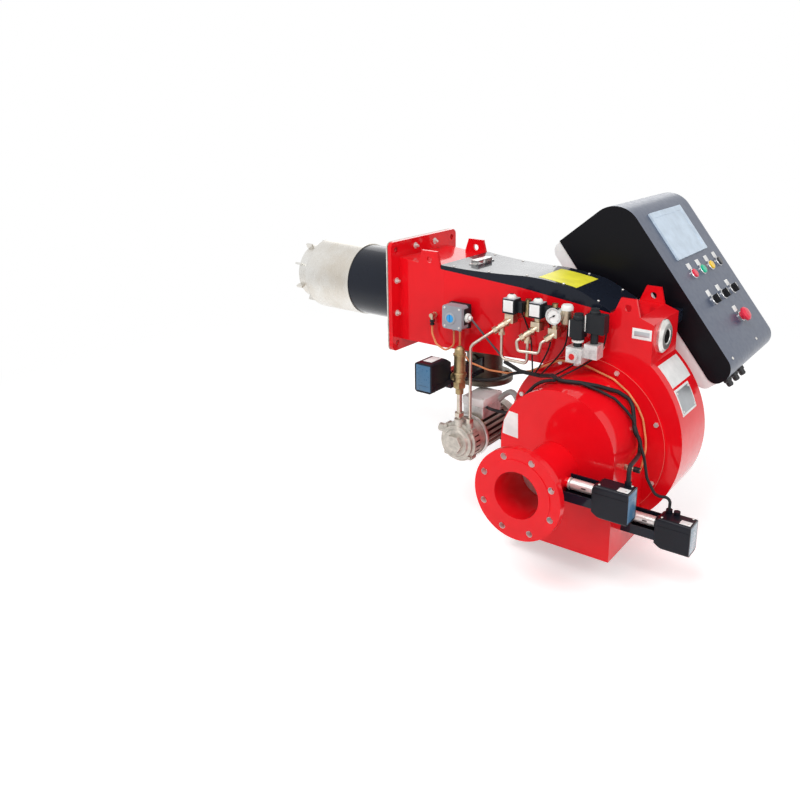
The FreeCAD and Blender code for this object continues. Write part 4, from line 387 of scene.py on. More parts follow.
def from_bmesh(name, shape, material, body="burner", smooth=True):
    """Piece from a bmesh, which is freed."""
    mesh = bpy.data.meshes.new(name)
    bmesh.ops.recalc_face_normals(shape, faces=shape.faces)
    shape.to_mesh(mesh)
    shape.free()
    for face in mesh.polygons:
        face.use_smooth = smooth
    if smooth:
        mesh.set_sharp_from_angle(angle=SHARP_ANGLE)
    return new_piece(name, mesh, material, body)


def axes_matrix(origin, x_axis, y_axis, z_axis):
    """Matrix that carries local axes to the given directions."""
    turn = Matrix((x_axis, y_axis, z_axis)).transposed().to_4x4()
    return Matrix.Translation(origin) @ turn


def facing(origin, way):
    """Matrix that stands local Z along a direction."""
    return Matrix.Translation(origin) @ Vector(way).to_track_quat("Z", "Y").to_matrix().to_4x4()


def add_plate(shape, width, height, thick, place, bevel=0.0):
    """Thin bevelled plate, its back face on the local XY plane."""
    made = bmesh.ops.create_cube(shape, size=1.0)["verts"]
    bmesh.ops.scale(shape, verts=made, vec=(width, height, thick))
    bmesh.ops.translate(shape, verts=made, vec=(0, 0, thick / 2))
    if bevel:
        edges = list({edge for vert in made for edge in vert.link_edges})
        result = bmesh.ops.bevel(shape, geom=edges, offset=bevel, segments=2, profile=0.5,
                                 affect="EDGES")
        rounded = {vert for face in result["faces"] for vert in face.verts}
        made = list(rounded | {vert for vert in made if vert.is_valid})
    bmesh.ops.transform(shape, verts=made, matrix=place)


# The two directions that a flat piece lies along
ON_WALL = (RIGHT, UP)
ON_TOP = (RIGHT, AWAY)
ON_PANEL = (DOWN_SLOPE, AWAY)


def label(name, centre, axes, size, material, thick=LABEL_THICK, body="burner"):
    """Bare label, laid on a flat face."""
    shape = bmesh.new()
    place = axes_matrix(centre, axes[0], axes[1], axes[0].cross(axes[1]))
    add_plate(shape, size[0], size[1], thick, place, thick / 3)
    return from_bmesh(name, shape, material, body)


def on_panel(place, rise=0.0):
    """Point on the cabinet's front, from its distances down the slope and across."""
    return DOWN_SLOPE * place[0] + OUTWARD * (PANEL_REACH + rise) + AWAY * place[1]


def panel_plate(name, place, size, material, rise=0.0, thick=TAG_THICK):
    """Plate on the cabinet's front: length down the slope, width across."""
    return label(name, on_panel(place, rise), ON_PANEL, size, material, thick)


def rounded_block(name, centre, size, bevel, material):
    """Block with rounded edges, about its centre."""
    shape = bmesh.new()
    place = Matrix.Translation(Vector(centre) + DOWN * (size[2] / 2))
    add_plate(shape, size[0], size[1], size[2], place, bevel)
    return from_bmesh(name, shape, material)


def add_turned(shape, profile, place, steps=32, closed=False):
    """Body of revolution round local Z, from (radius, height) points."""
    rings = []
    for radius, height in profile:
        ring = []
        for k in range(steps if radius > 0 else 1):
            turn = 2 * math.pi * k / steps
            point = Vector((radius * math.cos(turn), radius * math.sin(turn), height))
            ring.append(shape.verts.new(place @ point))
        rings.append(ring)
    following = rings[1:] + (rings[:1] if closed else [])
    for low, high in zip(rings, following):
        for k in range(steps):
            after = (k + 1) % steps
            corners = [low[k % len(low)], low[after % len(low)],
                       high[after % len(high)], high[k % len(high)]]
            shape.faces.new(list(dict.fromkeys(corners)))


def turned(name, profile, origin, way, material, body="burner", steps=32, closed=False):
    """Piece of revolution that starts at the origin and points along a direction."""
    shape = bmesh.new()
    add_turned(shape, profile, facing(origin, way), steps, closed)
    return from_bmesh(name, shape, material, body)


def ring_profile(inner, outer, length, slope=0.0):
    """Profile of a sleeve; slope is how far its ends lean."""
    return [(inner, 0), (outer, slope), (outer, length - slope), (inner, length)]


def sleeve(name, profile, origin, way, material, body="burner", steps=32):
    """Body of revolution that is open in the middle."""
    return turned(name, profile, origin, way, material, body, steps, closed=True)


def add_screw(shape, radius, origin, way):
    """Button head screw with its socket."""
    profile = [(0, 0), (radius, 0), (radius, 0.35 * radius), (0.8 * radius, 0.6 * radius),
               (0.45 * radius, 0.68 * radius), (0.42 * radius, 0.3 * radius), (0, 0.3 * radius)]
    add_turned(shape, profile, facing(origin, way), 16)


def screws(name, radius, places, way):
    """Screws that point the same way, as one piece."""
    shape = bmesh.new()
    for place in places:
        add_screw(shape, radius, place, way)
    return from_bmesh(name, shape, "zinc")


def around(centre, half_width, half_height, across=RIGHT, along=UP):
    """Four corners round a centre."""
    return [centre + across * (half_width * i) + along * (half_height * j)
            for i in (-1, 1) for j in (-1, 1)]


def lead(name, points, radius, material="cable_black"):
    """Cable held along its way, as a smooth curve near the given points."""
    data = bpy.data.curves.new(name, "CURVE")
    data.dimensions = "3D"
    data.bevel_depth = radius
    data.bevel_resolution = 3
    data.resolution_u = 6
    data.use_fill_caps = True
    spline = data.splines.new("NURBS")
    spline.points.add(len(points) - 1)
    for point, place in zip(spline.points, points):
        point.co = (*place, 1)
    spline.order_u = 3
    spline.use_endpoint_u = True
    return new_piece(name, data, material)


def tree_of(node):
    """Faces of a CAD node, for rays to hit."""
    mesh = frame["nodes"][node].data
    places = [vert.co for vert in mesh.vertices]
    return BVHTree.FromPolygons(places, [face.vertices for face in mesh.polygons])


# Sheets laid on a curved surface: where a ray starts, the gap behind the sheet and its grid
RAY_START = 0.2
SHEET_GAP = 0.0001
SHEET_STEPS = 10


def laid(name, node, corner, along, across, look, material, thick=LABEL_THICK):
    """Sheet laid on a curved surface: a grid cast on the node along the look direction."""
    tree = tree_of(node)
    shape = bmesh.new()
    layers = ([], [])
    for i in range(SHEET_STEPS + 1):
        for j in range(SHEET_STEPS + 1):
            start = corner + along * (i / SHEET_STEPS) + across * (j / SHEET_STEPS) - look * RAY_START
            place, normal = tree.ray_cast(start, look)[:2]
            if normal.dot(look) > 0:
                normal = normal * -1
            for layer, rise in zip(layers, (SHEET_GAP, thick)):
                layer.append(shape.verts.new(place + normal * rise))
    row = SHEET_STEPS + 1
    for layer in layers:
        for i in range(SHEET_STEPS):
            for j in range(SHEET_STEPS):
                first = i * row + j
                square = (first, first + 1, first + row + 1, first + row)
                shape.faces.new([layer[k] for k in square])
    edge = list(range(row))
    edge += [i * row + SHEET_STEPS for i in range(1, row)]
    edge += [SHEET_STEPS * row + j for j in range(SHEET_STEPS - 1, -1, -1)]
    edge += [i * row for i in range(SHEET_STEPS - 1, 0, -1)]
    close_edge(shape, [layers[0][k] for k in edge], [layers[1][k] for k in edge])
    return from_bmesh(name, shape, material)


def close_edge(shape, first, second):
    """Faces between two loops of as many points."""
    for k in range(len(first)):
        after = (k + 1) % len(first)
        shape.faces.new([first[k], first[after], second[after], second[k]])


# Cabinet front: screen film, tags, pointer lines and screws

SCREEN_RISE = 0.0030
SCREEN_LINE = 0.0028
SCREEN_LINE_THICK = 0.0014
TAG_SIZE = (0.020, 0.027)
TAG_ABOVE = 0.027
KNOB_RISE = 0.0204

panel_plate("screen_film", SCREEN_CENTRE, SCREEN_SIZE, "screen_film", SCREEN_RISE, 0.0010)
for side in (-1, 1):
    beside = (SCREEN_CENTRE[0], SCREEN_CENTRE[1] + side * SCREEN_SIZE[1] / 2)
    panel_plate("screen_line_down_%d" % (side + 1), beside, (SCREEN_SIZE[0], SCREEN_LINE), "frame_grey",
                SCREEN_RISE, SCREEN_LINE_THICK)
    above = (SCREEN_CENTRE[0] + side * SCREEN_SIZE[0] / 2, SCREEN_CENTRE[1])
    panel_plate("screen_line_across_%d" % (side + 1), above, (SCREEN_LINE, SCREEN_SIZE[1]), "frame_grey",
                SCREEN_RISE, SCREEN_LINE_THICK)
for k, column in enumerate(BUTTON_COLUMNS):
    panel_plate("button_tag_%d" % k, (BUTTON_ROW - TAG_ABOVE, column), TAG_SIZE, "label_white")
for k, column in enumerate(SELECTOR_COLUMNS):
    tag_place = (SELECTOR_ROW - TAG_ABOVE, column - 0.010)
    panel_plate("selector_tag_%d" % k, tag_place, TAG_SIZE, "label_white")
panel_plate("stop_tag", (STOP_PLACE[0] - 0.031, STOP_PLACE[1] - 0.008), (0.020, 0.030), "label_white")
for k, (node, column) in enumerate(zip(SELECTORS, SELECTOR_COLUMNS)):
    line = on_panel((SELECTOR_ROW, column), KNOB_RISE) - DOWN_SLOPE * 0.006
    label("selector_line_%d" % k, line, ON_PANEL, (0.015, 0.003), "label_white", 0.0004, node + "_knob")
screws("panel_screws", 0.0045, [on_panel((0.7085, 0.419)), on_panel((0.7085, 0.173))], OUTWARD)

# Bare labels where the photograph has printed ones

WALL_LABEL = Vector((0.8185, -0.095, 0.0))
label("wall_label", WALL_LABEL, ON_WALL, (0.056, 0.030), "label_white")
label("wall_label_band", WALL_LABEL + FRONT * LABEL_THICK, ON_WALL, (0.044, 0.014), "label_silver",
      0.0003)
COVER_LABEL_CORNER = Vector((0.487, -0.082, 0))
laid("cover_label", "top_cover", COVER_LABEL_CORNER, RIGHT * 0.123, AWAY * 0.142, DOWN, "label_yellow")


def scroll_plate(name, first, last, material, start=-0.065, width=0.14, thick=0.001):
    """Screwed plate on the scroll's curved back, between two angles round the fan."""
    screw_inset = 0.005
    grid_distance = 0.3
    middle = math.radians((first + last) / 2)
    look = Vector((-math.cos(middle), 0, -math.sin(middle)))
    tangent = Vector((-math.sin(middle), 0, math.cos(middle)))
    length = SCROLL_BACK_RADIUS * math.radians(last - first)
    corner = FAN_CENTRE - tangent * (length / 2) + AWAY * start - look * grid_distance
    laid(name, "scroll_housing", corner, tangent * length, AWAY * width, look, material, thick)
    tree = tree_of("scroll_housing")
    heads = []
    for across in (screw_inset, width - screw_inset):
        for along in (screw_inset, length - screw_inset):
            above = corner + tangent * along + AWAY * across - look * RAY_START
            heads.append(tree.ray_cast(above, look)[0] - look * thick)
    screws(name + "_screws", 0.003, heads, look * -1)


scroll_plate("scroll_plate_white", 38.3, 52, "label_white")
scroll_plate("scroll_plate_rim", 22.5, 36.9, "label_white", width=0.106)
scroll_plate("scroll_plate_metal", 23.7, 35.7, "label_silver", -0.059, 0.094, 0.0018)


def box_tag():
    """Torn paper tag on the intake box's front."""
    corners = [(0.5105, -0.289), (0.5610, -0.294), (0.5585, -0.222), (0.5305, -0.219), (0.5145, -0.250)]
    shape = bmesh.new()
    outer = [shape.verts.new((x, BOX_FRONT_Y - 0.0007, z)) for x, z in corners]
    inner = [shape.verts.new((x, BOX_FRONT_Y - SHEET_GAP, z)) for x, z in corners]
    shape.faces.new(outer)
    shape.faces.new(inner)
    close_edge(shape, outer, inner)
    from_bmesh("box_tag", shape, "label_white")


box_tag()

# Oil valves: caps, face labels, plugs and brass sleeves, and the third valve

COIL_CAP = [(0, 0), (0.0135, 0), (0.0135, 0.004), (0.0115, 0.008), (0.007, 0.0105), (0, 0.011)]
VALVE_SLEEVE = [(0, 0), (0.011, 0), (0.011, 0.034), (0.009, 0.038), (0.009, 0.05), (0, 0.05)]
THIRD_BODY = [(0, 0), (0.015, 0), (0.0165, 0.004), (0.0165, 0.04), (0, 0.04)]
THIRD_CAP = [(0, 0), (0.0175, 0), (0.0175, 0.009), (0.014, 0.015), (0, 0.016)]
THIRD_STEM = [(0, 0), (0.009, 0), (0.009, 0.020), (0, 0.020)]

for k, centre in enumerate(COIL_PLACES):
    rounded_block("coil_top_%d" % k, centre + UP * 0.0218, (0.036, 0.036, 0.002), 0.0006, "coil_top")
    turned("coil_cap_%d" % k, COIL_CAP, centre + UP * 0.0228, UP, "plastic_white")
    face = centre + FRONT * (COIL_SIZE / 2) + UP * 0.001
    label("coil_label_%d" % k, face, ON_WALL, (0.032, 0.034), "label_white")
    plug = centre + Vector((0.028, 0.008, -0.002))
    rounded_block("coil_plug_%d" % k, plug, (0.018, 0.026, 0.032), 0.002, "coil_plastic")
    sleeve_foot = centre + Vector((0.043, 0.022, -0.030))
    turned("valve_sleeve_%d" % k, VALVE_SLEEVE, sleeve_foot, UP, "aged_brass")
turned("third_valve", THIRD_BODY, THIRD_VALVE, UP, "brass")
turned("third_valve_cap", THIRD_CAP, THIRD_VALVE + UP * 0.040, UP, "plastic_white")
turned("third_valve_stem", THIRD_STEM, THIRD_VALVE + Vector((0, 0.014, 0.016)), AWAY, "brass")

# Gauge dial with plain ticks

DIAL_FACE = GAUGE_CENTRE + AWAY * 0.0038
DIAL_THICK = 0.0004
DIAL_DISC = [(0, 0), (0.0207, 0), (0.0207, DIAL_THICK), (0, DIAL_THICK)]
TICK_COUNT = 31
TICK_FIRST = -135
TICK_STEP = 9
TICK_OUTER = 0.0192

turned("gauge_dial", DIAL_DISC, DIAL_FACE, FRONT, "dial_white")


def gauge_ticks():
    """Ticks round the dial, every fifth of them long."""
    shape = bmesh.new()
    for k in range(TICK_COUNT):
        turn = math.radians(TICK_FIRST + TICK_STEP * k)
        width, length = (0.0008, 0.0036) if k % 5 == 0 else (0.0005, 0.002)
        out = Vector((math.sin(turn), 0, math.cos(turn)))
        side = Vector((math.cos(turn), 0, -math.sin(turn)))
        centre = DIAL_FACE + FRONT * DIAL_THICK + out * (TICK_OUTER - length / 2)
        add_plate(shape, width, length, 0.0002, axes_matrix(centre, side, out, side.cross(out)))
    from_bmesh("gauge_ticks", shape, "pointer_black", smooth=False)


gauge_ticks()

# Pilot valve: bands, knobs, plug, and strips on the two coils

PILOT_PLUG = [(0, 0), (0.009, 0), (0.0085, 0.0015), (0.003, 0.002), (0, 0.002)]
PILOT_KNOB = [(0, 0), (0.016, 0), (0.016, 0.008), (0.013, 0.011), (0.013, 0.016), (0, 0.016)]
WIDE_KNOB = [(0, 0), (0.015, 0), (0.015, 0.006), (0.012, 0.009), (0.012, 0.015), (0, 0.015)]
PILOT_BAND = ring_profile(0.0125, 0.0165, 0.009, 0.001)
PILOT_COLLAR = ring_profile(0.0125, 0.019, 0.006)

sleeve("pilot_band", PILOT_BAND, PILOT_BODY + UP * 0.034, UP, "plastic_white")
sleeve("pilot_collar", PILOT_COLLAR, PILOT_BODY + UP * 0.043, UP, "coil_plastic")
turned("pilot_plug", PILOT_PLUG, PILOT_BODY + Vector((-0.002, -0.031, -0.002)), FRONT, "plug_red")
turned("pilot_knob", PILOT_KNOB, PILOT_COIL + UP * 0.0252, UP, "coil_plastic")
turned("wide_coil_knob", WIDE_KNOB, WIDE_COIL + Vector((-0.008, 0, 0.0265)), UP, "coil_plastic")
STRIP_PLACES = (PILOT_COIL + Vector((-0.0192, -0.012, 0)), WIDE_COIL + Vector((-0.0282, -0.010, 0)))
for k, centre in enumerate(STRIP_PLACES):
    rounded_block("coil_strip_%d" % k, centre, (0.003, 0.014, 0.046), 0.0008, "plastic_white")
screws("pilot_body_screws", 0.003, around(PILOT_BODY + FRONT * 0.023, 0.02, 0.018), FRONT)

# Pressure switch: black base, white gland, ring round the dial and cover screws

GLAND_NUT = [(0.0092, 0), (0.014, 0), (0.014, 0.006), (0.012, 0.009), (0.0092, 0.009)]
CABLE_SEAL = [(0, 0), (0.008, 0), (0.006, 0.007), (0, 0.007)]
DIAL_RING = [(0.0126, 0), (0.018, 0), (0.018, 0.0015), (0.0165, 0.0025), (0.0126, 0.0025)]

rounded_block("switch_base", SWITCH_FACE + AWAY * 0.044, (0.073, 0.018, 0.075), 0.004, "coil_plastic")
switch_side = SWITCH_FACE + Vector((0.0345, 0.030, 0.003))
rounded_block("switch_side", switch_side, (0.005, 0.034, 0.050), 0.002, "coil_plastic")
sleeve("switch_gland", GLAND_NUT, SWITCH_GLAND, RIGHT, "plastic_white", steps=12)
turned("switch_cable_seal", CABLE_SEAL, SWITCH_GLAND + RIGHT * 0.010, RIGHT, "plastic_white")
sleeve("dial_ring", DIAL_RING, DIAL_CENTRE, FRONT, "face_grey")
screws("switch_screws", 0.0035, around(SWITCH_FACE, 0.026, 0.028), FRONT)

# Rubber boots where the impulse tubes meet their nipples

RIBBED_BOOT = [(0.004, 0), (0.0072, 0), (0.0072, 0.005), (0.0055, 0.006), (0.0055, 0.009),
               (0.0078, 0.010), (0.0078, 0.016), (0.0052, 0.017)]
PLAIN_BOOT = [(0.0042, 0), (0.0078, 0), (0.0078, 0.016), (0.0042, 0.017)]

sleeve("tube_boot", RIBBED_BOOT, DUCT_NIPPLE_END, UP, "cable_black")
sleeve("box_nipple_boot", PLAIN_BOOT, BOX_NIPPLE_END, RIGHT, "cable_black")

# Damper motors: lid seam, screws, face plate and stickers

SEAM_BELOW_TOP = 0.022
SEAM_HEIGHT = 0.0014
SEAM_DEPTH = 0.0016
FACE_SIZE = (0.078, 0.050)
FACE_THICK = 0.0012
FACE_PROUD = 0.0004
FINE_BEVEL = 0.0003
CLEAR_CORNER = (0.014, 0.019)


def motor_dressing(name, base, body_turn, face):
    """Seams, screws and face plate of one damper motor, from its shaft face and its own frame."""
    place = Matrix.Translation(base) @ body_turn
    seam_level = MOTOR_TOP - SEAM_BELOW_TOP
    shape = bmesh.new()
    for side in (-1, 1):
        seam = place @ Matrix.Translation((MOTOR_LENGTH / 2 + 0.002, side * MOTOR_HALF, seam_level))
        add_plate(shape, MOTOR_LENGTH - 0.006, SEAM_DEPTH, SEAM_HEIGHT, seam, FINE_BEVEL)
    end = place @ Matrix.Translation((MOTOR_LENGTH - FACE_PROUD, 0, seam_level))
    add_plate(shape, SEAM_DEPTH, 2 * MOTOR_HALF - 0.02, SEAM_HEIGHT, end, FINE_BEVEL)
    from_bmesh(name + "_seam", shape, "servo_plastic")
    shape = bmesh.new()
    way = (place.to_3x3() @ UP).normalized()
    for x in (0.014, MOTOR_LENGTH - 0.010):
        for y in (-0.019, 0.019):
            if (x, y) != CLEAR_CORNER:
                add_screw(shape, 0.0032, place @ Vector((x, y, MOTOR_TOP)), way)
    from_bmesh(name + "_screws", shape, "zinc")
    shape = bmesh.new()
    level = (MOTOR_TOP + MOTOR_BOTTOM) / 2
    sunk = Matrix.Translation((MOTOR_LENGTH - FACE_THICK + FACE_PROUD, 0, level))
    upright = place @ sunk @ Matrix.Rotation(math.pi / 2, 4, "Y")
    add_plate(shape, FACE_SIZE[0], FACE_SIZE[1], FACE_THICK, upright, FINE_BEVEL)
    from_bmesh(name + "_face", shape, face)


GAS_TURN = Matrix.Rotation(-math.pi / 2, 4, "Z") @ Matrix.Rotation(math.pi, 4, "X")
STICKER_SIZE = (0.030, 0.022)
motor_dressing("recirculation_servo", RECIRCULATION_MOTOR, Matrix.Identity(4), "servo_face")
motor_dressing("air_servo", AIR_MOTOR, Matrix.Identity(4), "servo_pane")
motor_dressing("gas_servo", GAS_MOTOR, GAS_TURN, "servo_face")
gas_lid = GAS_MOTOR + Vector((0, -0.052, -MOTOR_BOTTOM))
label("gas_servo_top_label", gas_lid, ON_TOP, (0.030, 0.050), "label_white")
recirculation_lid = RECIRCULATION_MOTOR + Vector((0.079, -0.014, MOTOR_TOP))
label("recirculation_servo_sticker", recirculation_lid, ON_TOP, STICKER_SIZE, "label_white")
air_lid = AIR_MOTOR + Vector((0.078, -0.013, MOTOR_TOP))
label("air_servo_sticker", air_lid, ON_TOP, STICKER_SIZE, "label_white")


SLEEVE_INNER = 0.0137
SLEEVE_OUTER = 0.0150
SLOT_ALONG = 0.62


def coupling_sleeve(name, start, length, body):
    """Bright clamp sleeve over a coupling, with a black strip of painted shade where the clamp's slot
    is.
    """
    profile = ring_profile(SLEEVE_INNER, SLEEVE_OUTER, length, 0.0005)
    sleeve(name, profile, start, RIGHT, "satin_silver", body)
    middle = start + RIGHT * (length * SLOT_ALONG) + FRONT * (SLEEVE_OUTER - 0.0001) + UP * 0.002
    # The slot is a black strip: painted shade
    label(name + "_slot", middle, ON_WALL, (0.013, 0.0036), "pointer_black", 0.0004, body)


recirculation_start = RECIRCULATION_MOTOR - RIGHT * 0.069
coupling_sleeve("recirculation_sleeve", recirculation_start, 0.0615, "recirculation_flap")
coupling_sleeve("air_sleeve", AIR_MOTOR - RIGHT * 0.080, 0.0725, "air_flap")
shaft_end = RECIRCULATION_MOTOR - RIGHT * 0.0777
sleeve("shaft_collar", ring_profile(0.0085, 0.0160, 0.0045, 0.0005), shaft_end, RIGHT, "zinc")

# Bare metal in the pipe flange's holes, and a painted highlight along the rim of the inlet ring


def flange_hole_liners():
    """Thin bright tubes in the pipe flange's bolt holes."""
    liner = ring_profile(0.0084, 0.0089, 0.017)
    shape = bmesh.new()
    for k in range(PIPE_BOLTS):
        turn = 2 * math.pi * (k + 0.5) / PIPE_BOLTS
        hole = PIPE_CENTRE + Vector((math.cos(turn), 0, math.sin(turn))) * PIPE_BOLT_RADIUS
        add_turned(shape, liner, facing(hole, AWAY), 24, True)
    from_bmesh("flange_hole_liners", shape, "satin_silver")


flange_hole_liners()
# Thin pale red ring on the inlet ring's edge: a painted highlight
rim = ring_profile(RING_RADIUS - 0.0010, RING_RADIUS, 0.0008)
sleeve("ring_rim_highlight", rim, FAN_CENTRE + AWAY * RING_FRONT_Y, FRONT, "painted_rim_highlight", steps=128)

# Pump set: terminal lid, rims of the lantern, painted shade in slots and gaps, conduit and cables

LID_SIZE = (0.078, 0.108, 0.026)
SLOT_SIZE = (0.004, 0.022, 0.0006)
SLOT_RADIUS = 0.0619
SLOT_Y = -0.217
FIN_GAP_SIZE = (0.0075, 0.126, 0.0008)
FIN_GAP_RADIUS = 0.0530
FIN_GAP_Y = -0.088

rounded_block("terminal_lid", TERMINAL_LID, LID_SIZE, 0.003, "lid_white")
lid_screws = around(TERMINAL_LID + UP * (LID_SIZE[2] / 2), 0.032, 0.047, RIGHT, AWAY)
screws("terminal_lid_screws", 0.0035, lid_screws, UP)
lantern_rim = ring_profile(0.0621, 0.0668, 0.009, 0.001)
sleeve("lantern_rim", lantern_rim, PUMP_AXIS - AWAY * 0.175, AWAY, "satin_silver", steps=64)
lantern_band = ring_profile(0.0601, 0.0640, 0.007, 0.001)
sleeve("lantern_band", lantern_band, PUMP_AXIS - AWAY * 0.1655, AWAY, "aged_brass", steps=64)


def round_pump(radius, turn, y):
    """Matrix on a cylinder round the pump's axis: X runs round it, Y along it, Z outwards."""
    out = Vector((math.cos(turn), 0, math.sin(turn)))
    return axes_matrix(PUMP_AXIS + out * radius + AWAY * y, AWAY.cross(out), AWAY, out)


def pump_slot_shade():
    """Painted shade: dark plates in the slots of the lantern's near side."""
    shape = bmesh.new()
    for k in range(6):
        place = round_pump(SLOT_RADIUS, math.radians(-50 + 15 * k), SLOT_Y)
        add_plate(shape, SLOT_SIZE[0], SLOT_SIZE[1], SLOT_SIZE[2], place, 0.0001)
    from_bmesh("pump_slot_shade", shape, "painted_shade")


def motor_fin_gap_shade():
    """Painted shade: dark plates in the gaps between the motor's fins, but not under the terminal box.
    """
    shape = bmesh.new()
    for k in range(20):
        angle = (18 * k + 90) % 360
        if not 60 < angle < 120:
            place = round_pump(FIN_GAP_RADIUS, math.radians(angle), FIN_GAP_Y)
            add_plate(shape, FIN_GAP_SIZE[0], FIN_GAP_SIZE[1], FIN_GAP_SIZE[2], place, 0.0002)
    from_bmesh("motor_fin_gap_shade", shape, "painted_shade")


pump_slot_shade()
motor_fin_gap_shade()

CONDUIT_ROUTE = [(0.350, -0.062, -0.300), (0.385, -0.062, -0.262), (0.425, -0.082, -0.262),
                 (0.452, -0.104, -0.292)]
PUMP_ROUTE = [(0.351, -0.130, -0.305), (0.385, -0.170, -0.290), (0.431, -0.185, -0.283),
              (0.483, -0.205, -0.270), (0.530, -0.215, -0.200), (0.583, -0.225, -0.140),
              (0.640, -0.250, -0.123)]
SWITCH_ROUTE = [(0.305, -0.1588, -0.023), (0.330, -0.158, -0.045), (0.358, -0.140, -0.088),
                (0.385, -0.125, -0.124), (0.415, -0.120, -0.155), (0.462, -0.124, -0.170)]
GAS_ROUTE = [(0.290, -0.190, -0.205), (0.330, -0.150, -0.215), (0.395, -0.122, -0.205),
             (0.440, -0.120, -0.175), (0.490, -0.124, -0.166)]
VALVE_ROUTES = (
    [(0.466, -0.134, 0.014), (0.480, -0.112, -0.040), (0.489, -0.108, -0.099), (0.500, -0.122, -0.164)],
    [(0.552, -0.134, 0.014), (0.556, -0.110, -0.040), (0.538, -0.108, -0.109), (0.508, -0.122, -0.166)],
    [(0.608, -0.118, 0.004), (0.604, -0.110, -0.040), (0.589, -0.109, -0.092), (0.529, -0.122, -0.164)],
    [(0.690, -0.122, -0.006), (0.684, -0.112, -0.050), (0.664, -0.110, -0.095), (0.568, -0.135, -0.162)],
    [(0.726, -0.122, -0.006), (0.722, -0.112, -0.040), (0.690, -0.112, -0.096), (0.621, -0.190, -0.136)],
)

lead("pump_conduit", CONDUIT_ROUTE, 0.009, "hose_grey")
lead("pump_cable", PUMP_ROUTE, 0.0048)
lead("switch_cable", SWITCH_ROUTE, 0.0032, "cable_grey")
lead("gas_servo_cable", GAS_ROUTE, 0.0045)
for k, route in enumerate(VALVE_ROUTES):
    lead("valve_lead_%d" % k, route, 0.0024)

# Painted shade in the sight glass's bore, and the cover's edge screws

sleeve("sight_bore_shade", ring_profile(0.0178, 0.0188, 0.0118), SIGHT_GLASS, RIGHT, "painted_shade")


COVER_SCREW_PLACES = (0.215, 0.330, 0.450, 0.570, 0.680)
COVER_HALF_WIDTH = 0.133
COVER_NARROWS_BY = 0.038
TAPER_START = 0.190
TAPER_LENGTH = 0.250
EDGE_TO_SCREW = 0.012
ABOVE_COVER = 0.4


def cover_screws():
    """Screws a little inside both edges of the cover, which narrows towards the fan."""
    cover = tree_of("top_cover")
    heads = []
    for x in COVER_SCREW_PLACES:
        taper = min(max((x - TAPER_START) / TAPER_LENGTH, 0), 1)
        half = COVER_HALF_WIDTH - COVER_NARROWS_BY * taper - EDGE_TO_SCREW
        for side in (-1, 1):
            heads.append(cover.ray_cast(Vector((x, side * half, ABOVE_COVER)), DOWN)[0])
    screws("cover_screws", 0.004, heads, UP)


cover_screws()

# Camera, from the photograph

AZIMUTH = 0.571026
ELEVATION = 0.296275
ROLL = 0.013889
FOCAL_PIXELS = 824.4
PHOTO_PIXELS = 800
CENTRE_PIXEL = (481.2, 342.9)
CAMERA_PLACE = Vector((1.6096, -2.1296, 0.6230))
SENSOR_WIDTH = 36

forward = Vector((-math.sin(AZIMUTH) * math.cos(ELEVATION), math.cos(AZIMUTH) * math.cos(ELEVATION),
                  -math.sin(ELEVATION)))
level_side = forward.cross(UP).normalized()
level_up = level_side.cross(forward)
camera_right = level_side * math.cos(ROLL) + level_up * math.sin(ROLL)
camera_up = level_up * math.cos(ROLL) - level_side * math.sin(ROLL)

camera_data = bpy.data.cameras.new("photo_camera")
camera_data.sensor_width = SENSOR_WIDTH
camera_data.lens = SENSOR_WIDTH * FOCAL_PIXELS / PHOTO_PIXELS
camera_data.shift_x = (PHOTO_PIXELS / 2 - CENTRE_PIXEL[0]) / PHOTO_PIXELS
camera_data.shift_y = (CENTRE_PIXEL[1] - PHOTO_PIXELS / 2) / PHOTO_PIXELS
camera_data.clip_end = 60
camera = bpy.data.objects.new("photo_camera", camera_data)
camera.matrix_world = axes_matrix(CAMERA_PLACE, camera_right, camera_up, forward * -1)
bpy.context.scene.collection.objects.link(camera)
bpy.context.scene.camera = camera

# Floor, lamps and world

FLOOR_Z = -0.66
FLOOR_HALF = 14
FLOOR_GLOW = 0.35
WORLD_LIGHT = 0.55
# The floor turns plain white between these distances from its middle
SHADOW_REACH = (0.9, 2.6)


def seen_directly(nodes, links):
    """1 for camera, glossy and transmission rays, 0 for diffuse and shadow rays."""
    path = nodes.new("ShaderNodeLightPath")
    value = path.outputs["Is Camera Ray"]
    for ray in ("Is Glossy Ray", "Is Transmission Ray"):
        largest = nodes.new("ShaderNodeMath")
        largest.operation = "MAXIMUM"
        links.new(value, largest.inputs[0])
        links.new(path.outputs[ray], largest.inputs[1])
        value = largest.outputs["Value"]
    return value


def white_light(nodes):
    light = nodes.new("ShaderNodeEmission")
    light.inputs["Color"].default_value = (1, 1, 1, 1)
    return light


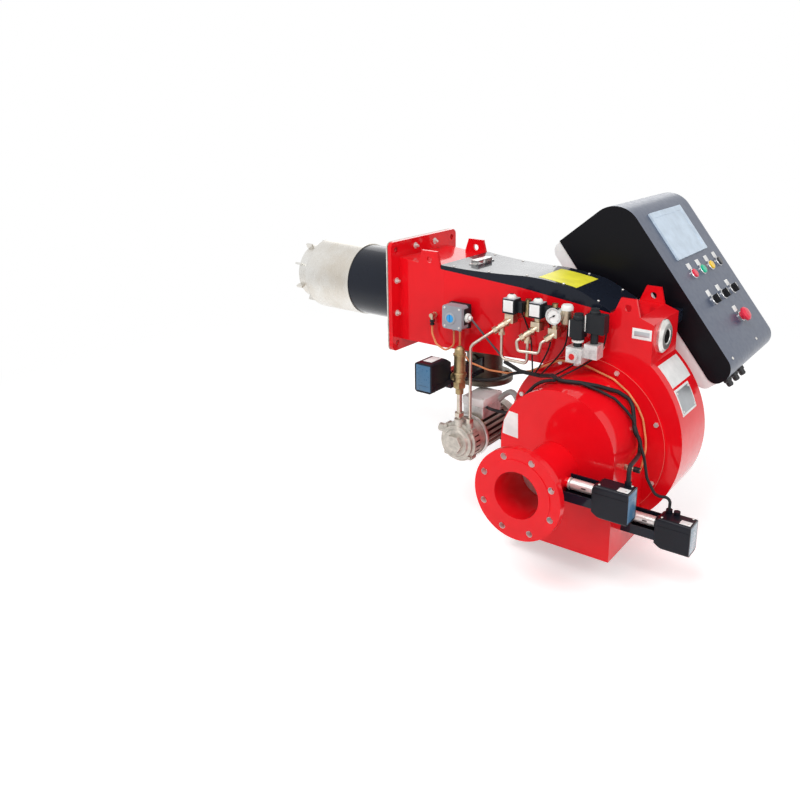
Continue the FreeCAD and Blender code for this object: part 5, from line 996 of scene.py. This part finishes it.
def floor_material():
    """White floor that keeps the shadow near the object and turns plain white further out."""
    look = Look("pale_floor", 0.0, 0.9, specular=0.0)
    look.colour(look.ramp(look.noise(3, 2), (0.3, (0.93, 0.93, 0.93)), (0.7, (0.96, 0.96, 0.96))))
    nodes = look.nodes
    links = look.links
    seen = seen_directly(nodes, links)
    glow = white_light(nodes)
    links.new(look.mapped(seen, (0, 1), 0.0, FLOOR_GLOW), glow.inputs["Strength"])
    lit = nodes.new("ShaderNodeAddShader")
    links.new(look.shader.outputs["BSDF"], lit.inputs[0])
    links.new(glow.outputs["Emission"], lit.inputs[1])
    distance = nodes.new("ShaderNodeVectorMath")
    distance.operation = "LENGTH"
    links.new(look.coordinates, distance.inputs[0])
    far = nodes.new("ShaderNodeMapRange")
    far.interpolation_type = "SMOOTHSTEP"
    far.inputs["From Min"].default_value = SHADOW_REACH[0]
    far.inputs["From Max"].default_value = SHADOW_REACH[1]
    links.new(distance.outputs["Value"], far.inputs["Value"])
    share = nodes.new("ShaderNodeMath")
    share.operation = "MULTIPLY"
    links.new(far.outputs["Result"], share.inputs[0])
    links.new(seen, share.inputs[1])
    mix = nodes.new("ShaderNodeMixShader")
    links.new(share.outputs["Value"], mix.inputs["Fac"])
    links.new(lit.outputs["Shader"], mix.inputs[1])
    links.new(white_light(nodes).outputs["Emission"], mix.inputs[2])
    output = next(node for node in nodes if node.type == "OUTPUT_MATERIAL")
    links.new(mix.outputs["Shader"], output.inputs["Surface"])
    return look.material


shape = bmesh.new()
bmesh.ops.create_grid(shape, x_segments=4, y_segments=4, size=FLOOR_HALF)
floor_mesh = bpy.data.meshes.new("floor")
shape.to_mesh(floor_mesh)
shape.free()
floor_mesh.materials.append(floor_material())
floor = bpy.data.objects.new("floor", floor_mesh)
floor.location = (0.4, 0, FLOOR_Z)
bpy.context.scene.collection.objects.link(floor)


def soft_lamp(name, place, target, size, power):
    """Area lamp aimed at a target."""
    data = bpy.data.lights.new(name, "AREA")
    data.shape = "RECTANGLE"
    data.size = size[0]
    data.size_y = size[1]
    data.energy = power
    lamp = bpy.data.objects.new(name, data)
    lamp.location = place
    lamp.rotation_euler = (Vector(target) - Vector(place)).to_track_quat("-Z", "Y").to_euler()
    bpy.context.scene.collection.objects.link(lamp)


soft_lamp("key_lamp", (0.2, -2.6, 3.4), (0.4, 0, -0.1), (2.6, 2.0), 95)
soft_lamp("fill_lamp", (3.4, -1.6, 1.6), (0.5, 0, -0.1), (2.2, 2.2), 42)
soft_lamp("back_lamp", (-1.5, 3.0, 1.7), (0.4, 0, 0), (3.4, 2.4), 26)

world = bpy.data.worlds.new("studio")
bpy.context.scene.world = world
world.use_nodes = True
world_nodes = world.node_tree.nodes
world_links = world.node_tree.links
background = world_nodes["Background"]
background.inputs["Color"].default_value = (1, 1, 1, 1)
strength = world_nodes.new("ShaderNodeMapRange")
strength.inputs["To Min"].default_value = WORLD_LIGHT
strength.inputs["To Max"].default_value = 1.0
world_links.new(seen_directly(world_nodes, world_links), strength.inputs["Value"])
world_links.new(strength.outputs["Result"], background.inputs["Strength"])

bpy.context.scene.view_settings.view_transform = "Standard"
